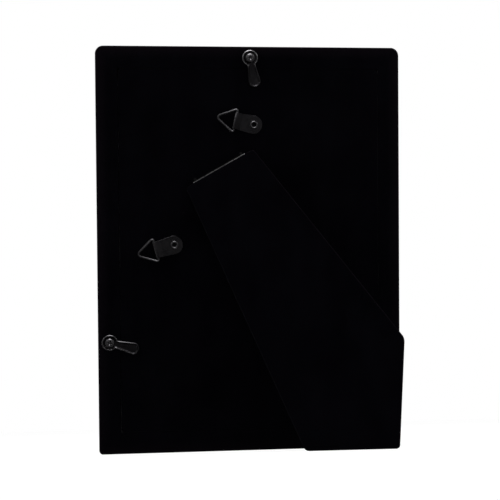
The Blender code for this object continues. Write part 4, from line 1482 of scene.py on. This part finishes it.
    def build(self) -> None:
        """Make the strap, the eyelet and the ring."""
        name, metal, wire = self.name + "_hanger", self.finishes.gunmetal, self.finishes.wire
        report(self.strap(), name, Slot.GUNMETAL, name + "_strap")
        eyelet = piece(name + "_rolled_eyelet", self.eyelet(), self.place, metal)
        report(eyelet, Body.FRAME, Slot.GUNMETAL, name + "_eyelet")
        ring = piece(name + "_wire", self.ring(), self.ring_place(), wire, sharp=70.0)
        report(ring, self.name + "_ring", Slot.GUNMETAL, name + "_ring")


# Studio


@dataclass
class Lamp:
    """One soft lamp of the studio. One for gleams lights metal only, so cloth stays plain."""

    name: str
    at: Triple
    size: float
    power: float
    gleam_only: bool = False
    aim: Triple = (0.0, 0.0, 0.1)

    def build(self) -> None:
        """Place the lamp so that it faces its aim."""
        light = bpy.data.lights.new(self.name, "AREA")
        light.shape = "DISK"
        light.size = self.size
        light.energy = self.power
        thing = placed(self.name, light)
        thing.location = self.at
        ray = Vector(self.aim) - Vector(self.at)
        thing.rotation_euler = ray.to_track_quat("-Z", "Y").to_euler()
        thing.visible_diffuse = not self.gleam_only


@dataclass
class Studio:
    """Pale floor, white surroundings, soft lamps and the photograph's camera."""

    floor_reach: float = 3.0
    floor_colour: tuple = (0.82, 0.82, 0.82, 1.0)
    floor_glow: float = 0.80
    glow_strength: float = 1.15
    fill: float = 0.46
    fill_colour: tuple = (0.8, 0.8, 0.8, 1.0)
    camera_at: Triple = (-0.0751424, -0.6097593, 0.0148502)
    camera_right: Triple = (0.99279422, -0.11665065, -0.02742737)
    camera_up: Triple = (0.01122072, -0.13738202, 0.99045458)
    camera_back: Triple = (-0.1193052, -0.98362534, -0.13508317)
    sensor: float = 36.0
    lens: float = 90.0
    clip_start: float = 0.01
    lamps: tuple = (
        Lamp("high_lamp", (-0.15, -0.40, 1.0), 0.14, 1.6),
        Lamp("high_softbox", (-0.05, -0.60, 0.90), 0.80, 32.0, gleam_only=True),
        Lamp("left_lamp", (-0.80, -0.30, 0.60), 0.22, 1.6),
        Lamp("right_lamp", (0.85, -0.25, 0.65), 0.22, 1.6),
        Lamp("front_lamp", (0.35, 1.0, 0.8), 0.5, 4.5),
    )

    def floor(self) -> None:
        """Lay the floor, which shows white but keeps the shadow."""
        bm = bmesh.new()
        bmesh.ops.create_grid(bm, x_segments=1, y_segments=1, size=self.floor_reach)
        sheet = NodeSheet(bpy.data.materials.new("studio_floor"))
        sheet.set(Base_Color=self.floor_colour, Roughness=0.9, Specular_IOR_Level=0.1)
        seen = sheet.reckoned("MULTIPLY", sheet.light_path("Is Camera Ray"), self.floor_glow)
        sheet.swap(seen, sheet.add("ShaderNodeEmission", Strength=self.glow_strength))
        piece("studio_ground", bm, Matrix(), sheet.owner)

    def surroundings(self) -> None:
        """Make the world white to the camera, glass and metal, and a plain fill to the rest."""
        bpy.context.scene.world = bpy.data.worlds.new("white_studio")
        sheet = NodeSheet(bpy.context.scene.world, "Background")
        sheet.set(Color=self.fill_colour, Strength=self.fill)
        seen = sheet.light_path("Is Camera Ray")
        for name in ("Is Glossy Ray", "Is Transmission Ray"):
            seen = sheet.reckoned("MAXIMUM", seen, sheet.light_path(name))
        sheet.swap(seen, sheet.add("ShaderNodeBackground", Color=(1.0, 1.0, 1.0, 1.0)))

    def camera(self) -> None:
        """Put the camera where the photograph was taken from."""
        data = bpy.data.cameras.new("photo_camera")
        data.lens = self.lens
        data.sensor_width = self.sensor
        data.clip_start = self.clip_start
        thing = placed("photo_camera", data)
        axes = Matrix((self.camera_right, self.camera_up, self.camera_back)).transposed()
        thing.matrix_world = Matrix.Translation(self.camera_at) @ axes.to_4x4()
        bpy.context.scene.camera = thing

    def build(self) -> None:
        """Set up the whole studio."""
        bpy.context.scene.view_settings.view_transform = "Standard"
        self.floor()
        self.surroundings()
        for lamp in self.lamps:
            lamp.build()
        self.camera()


def main() -> None:
    logging.basicConfig(level=logging.INFO, format="%(name)s: %(message)s")
    back = BackFace()
    finishes = Finishes()
    Studio().build()
    Rim(back, finishes).build()
    Moulding(back, finishes).build()
    Panel(back, finishes).build()
    Strut(finishes).build()
    side, side_height = back.width / 2 - back.button_inset, back.height * back.side_button_share
    top_height = back.height - back.button_inset
    # Painted highlight: stronger on the top button's head, none on its tongue.
    top_button_highlight = {"head_highlight": 1.0, "tongue_highlight": 0.0, "fade": 6.4}
    for name, x, y, turn, highlight_paint in (
        ("top", back.top_button_x, top_height, 10.5, top_button_highlight),
        ("left", -side, side_height, 75.0, {}),
        ("right", side, side_height, -75.0, {}),
    ):
        TurnButton(name, back.at(x, y, turn), finishes, **highlight_paint).build()
    hangers = (("top", 0.0134, 0.8069, 167.5), ("side", -0.2501, 0.5134, 195.0))
    for name, across, up, turn in hangers:
        Hanger(name, back.at(back.width * across, back.height * up, turn), finishes).build()


if __name__ == "__main__":
    main()
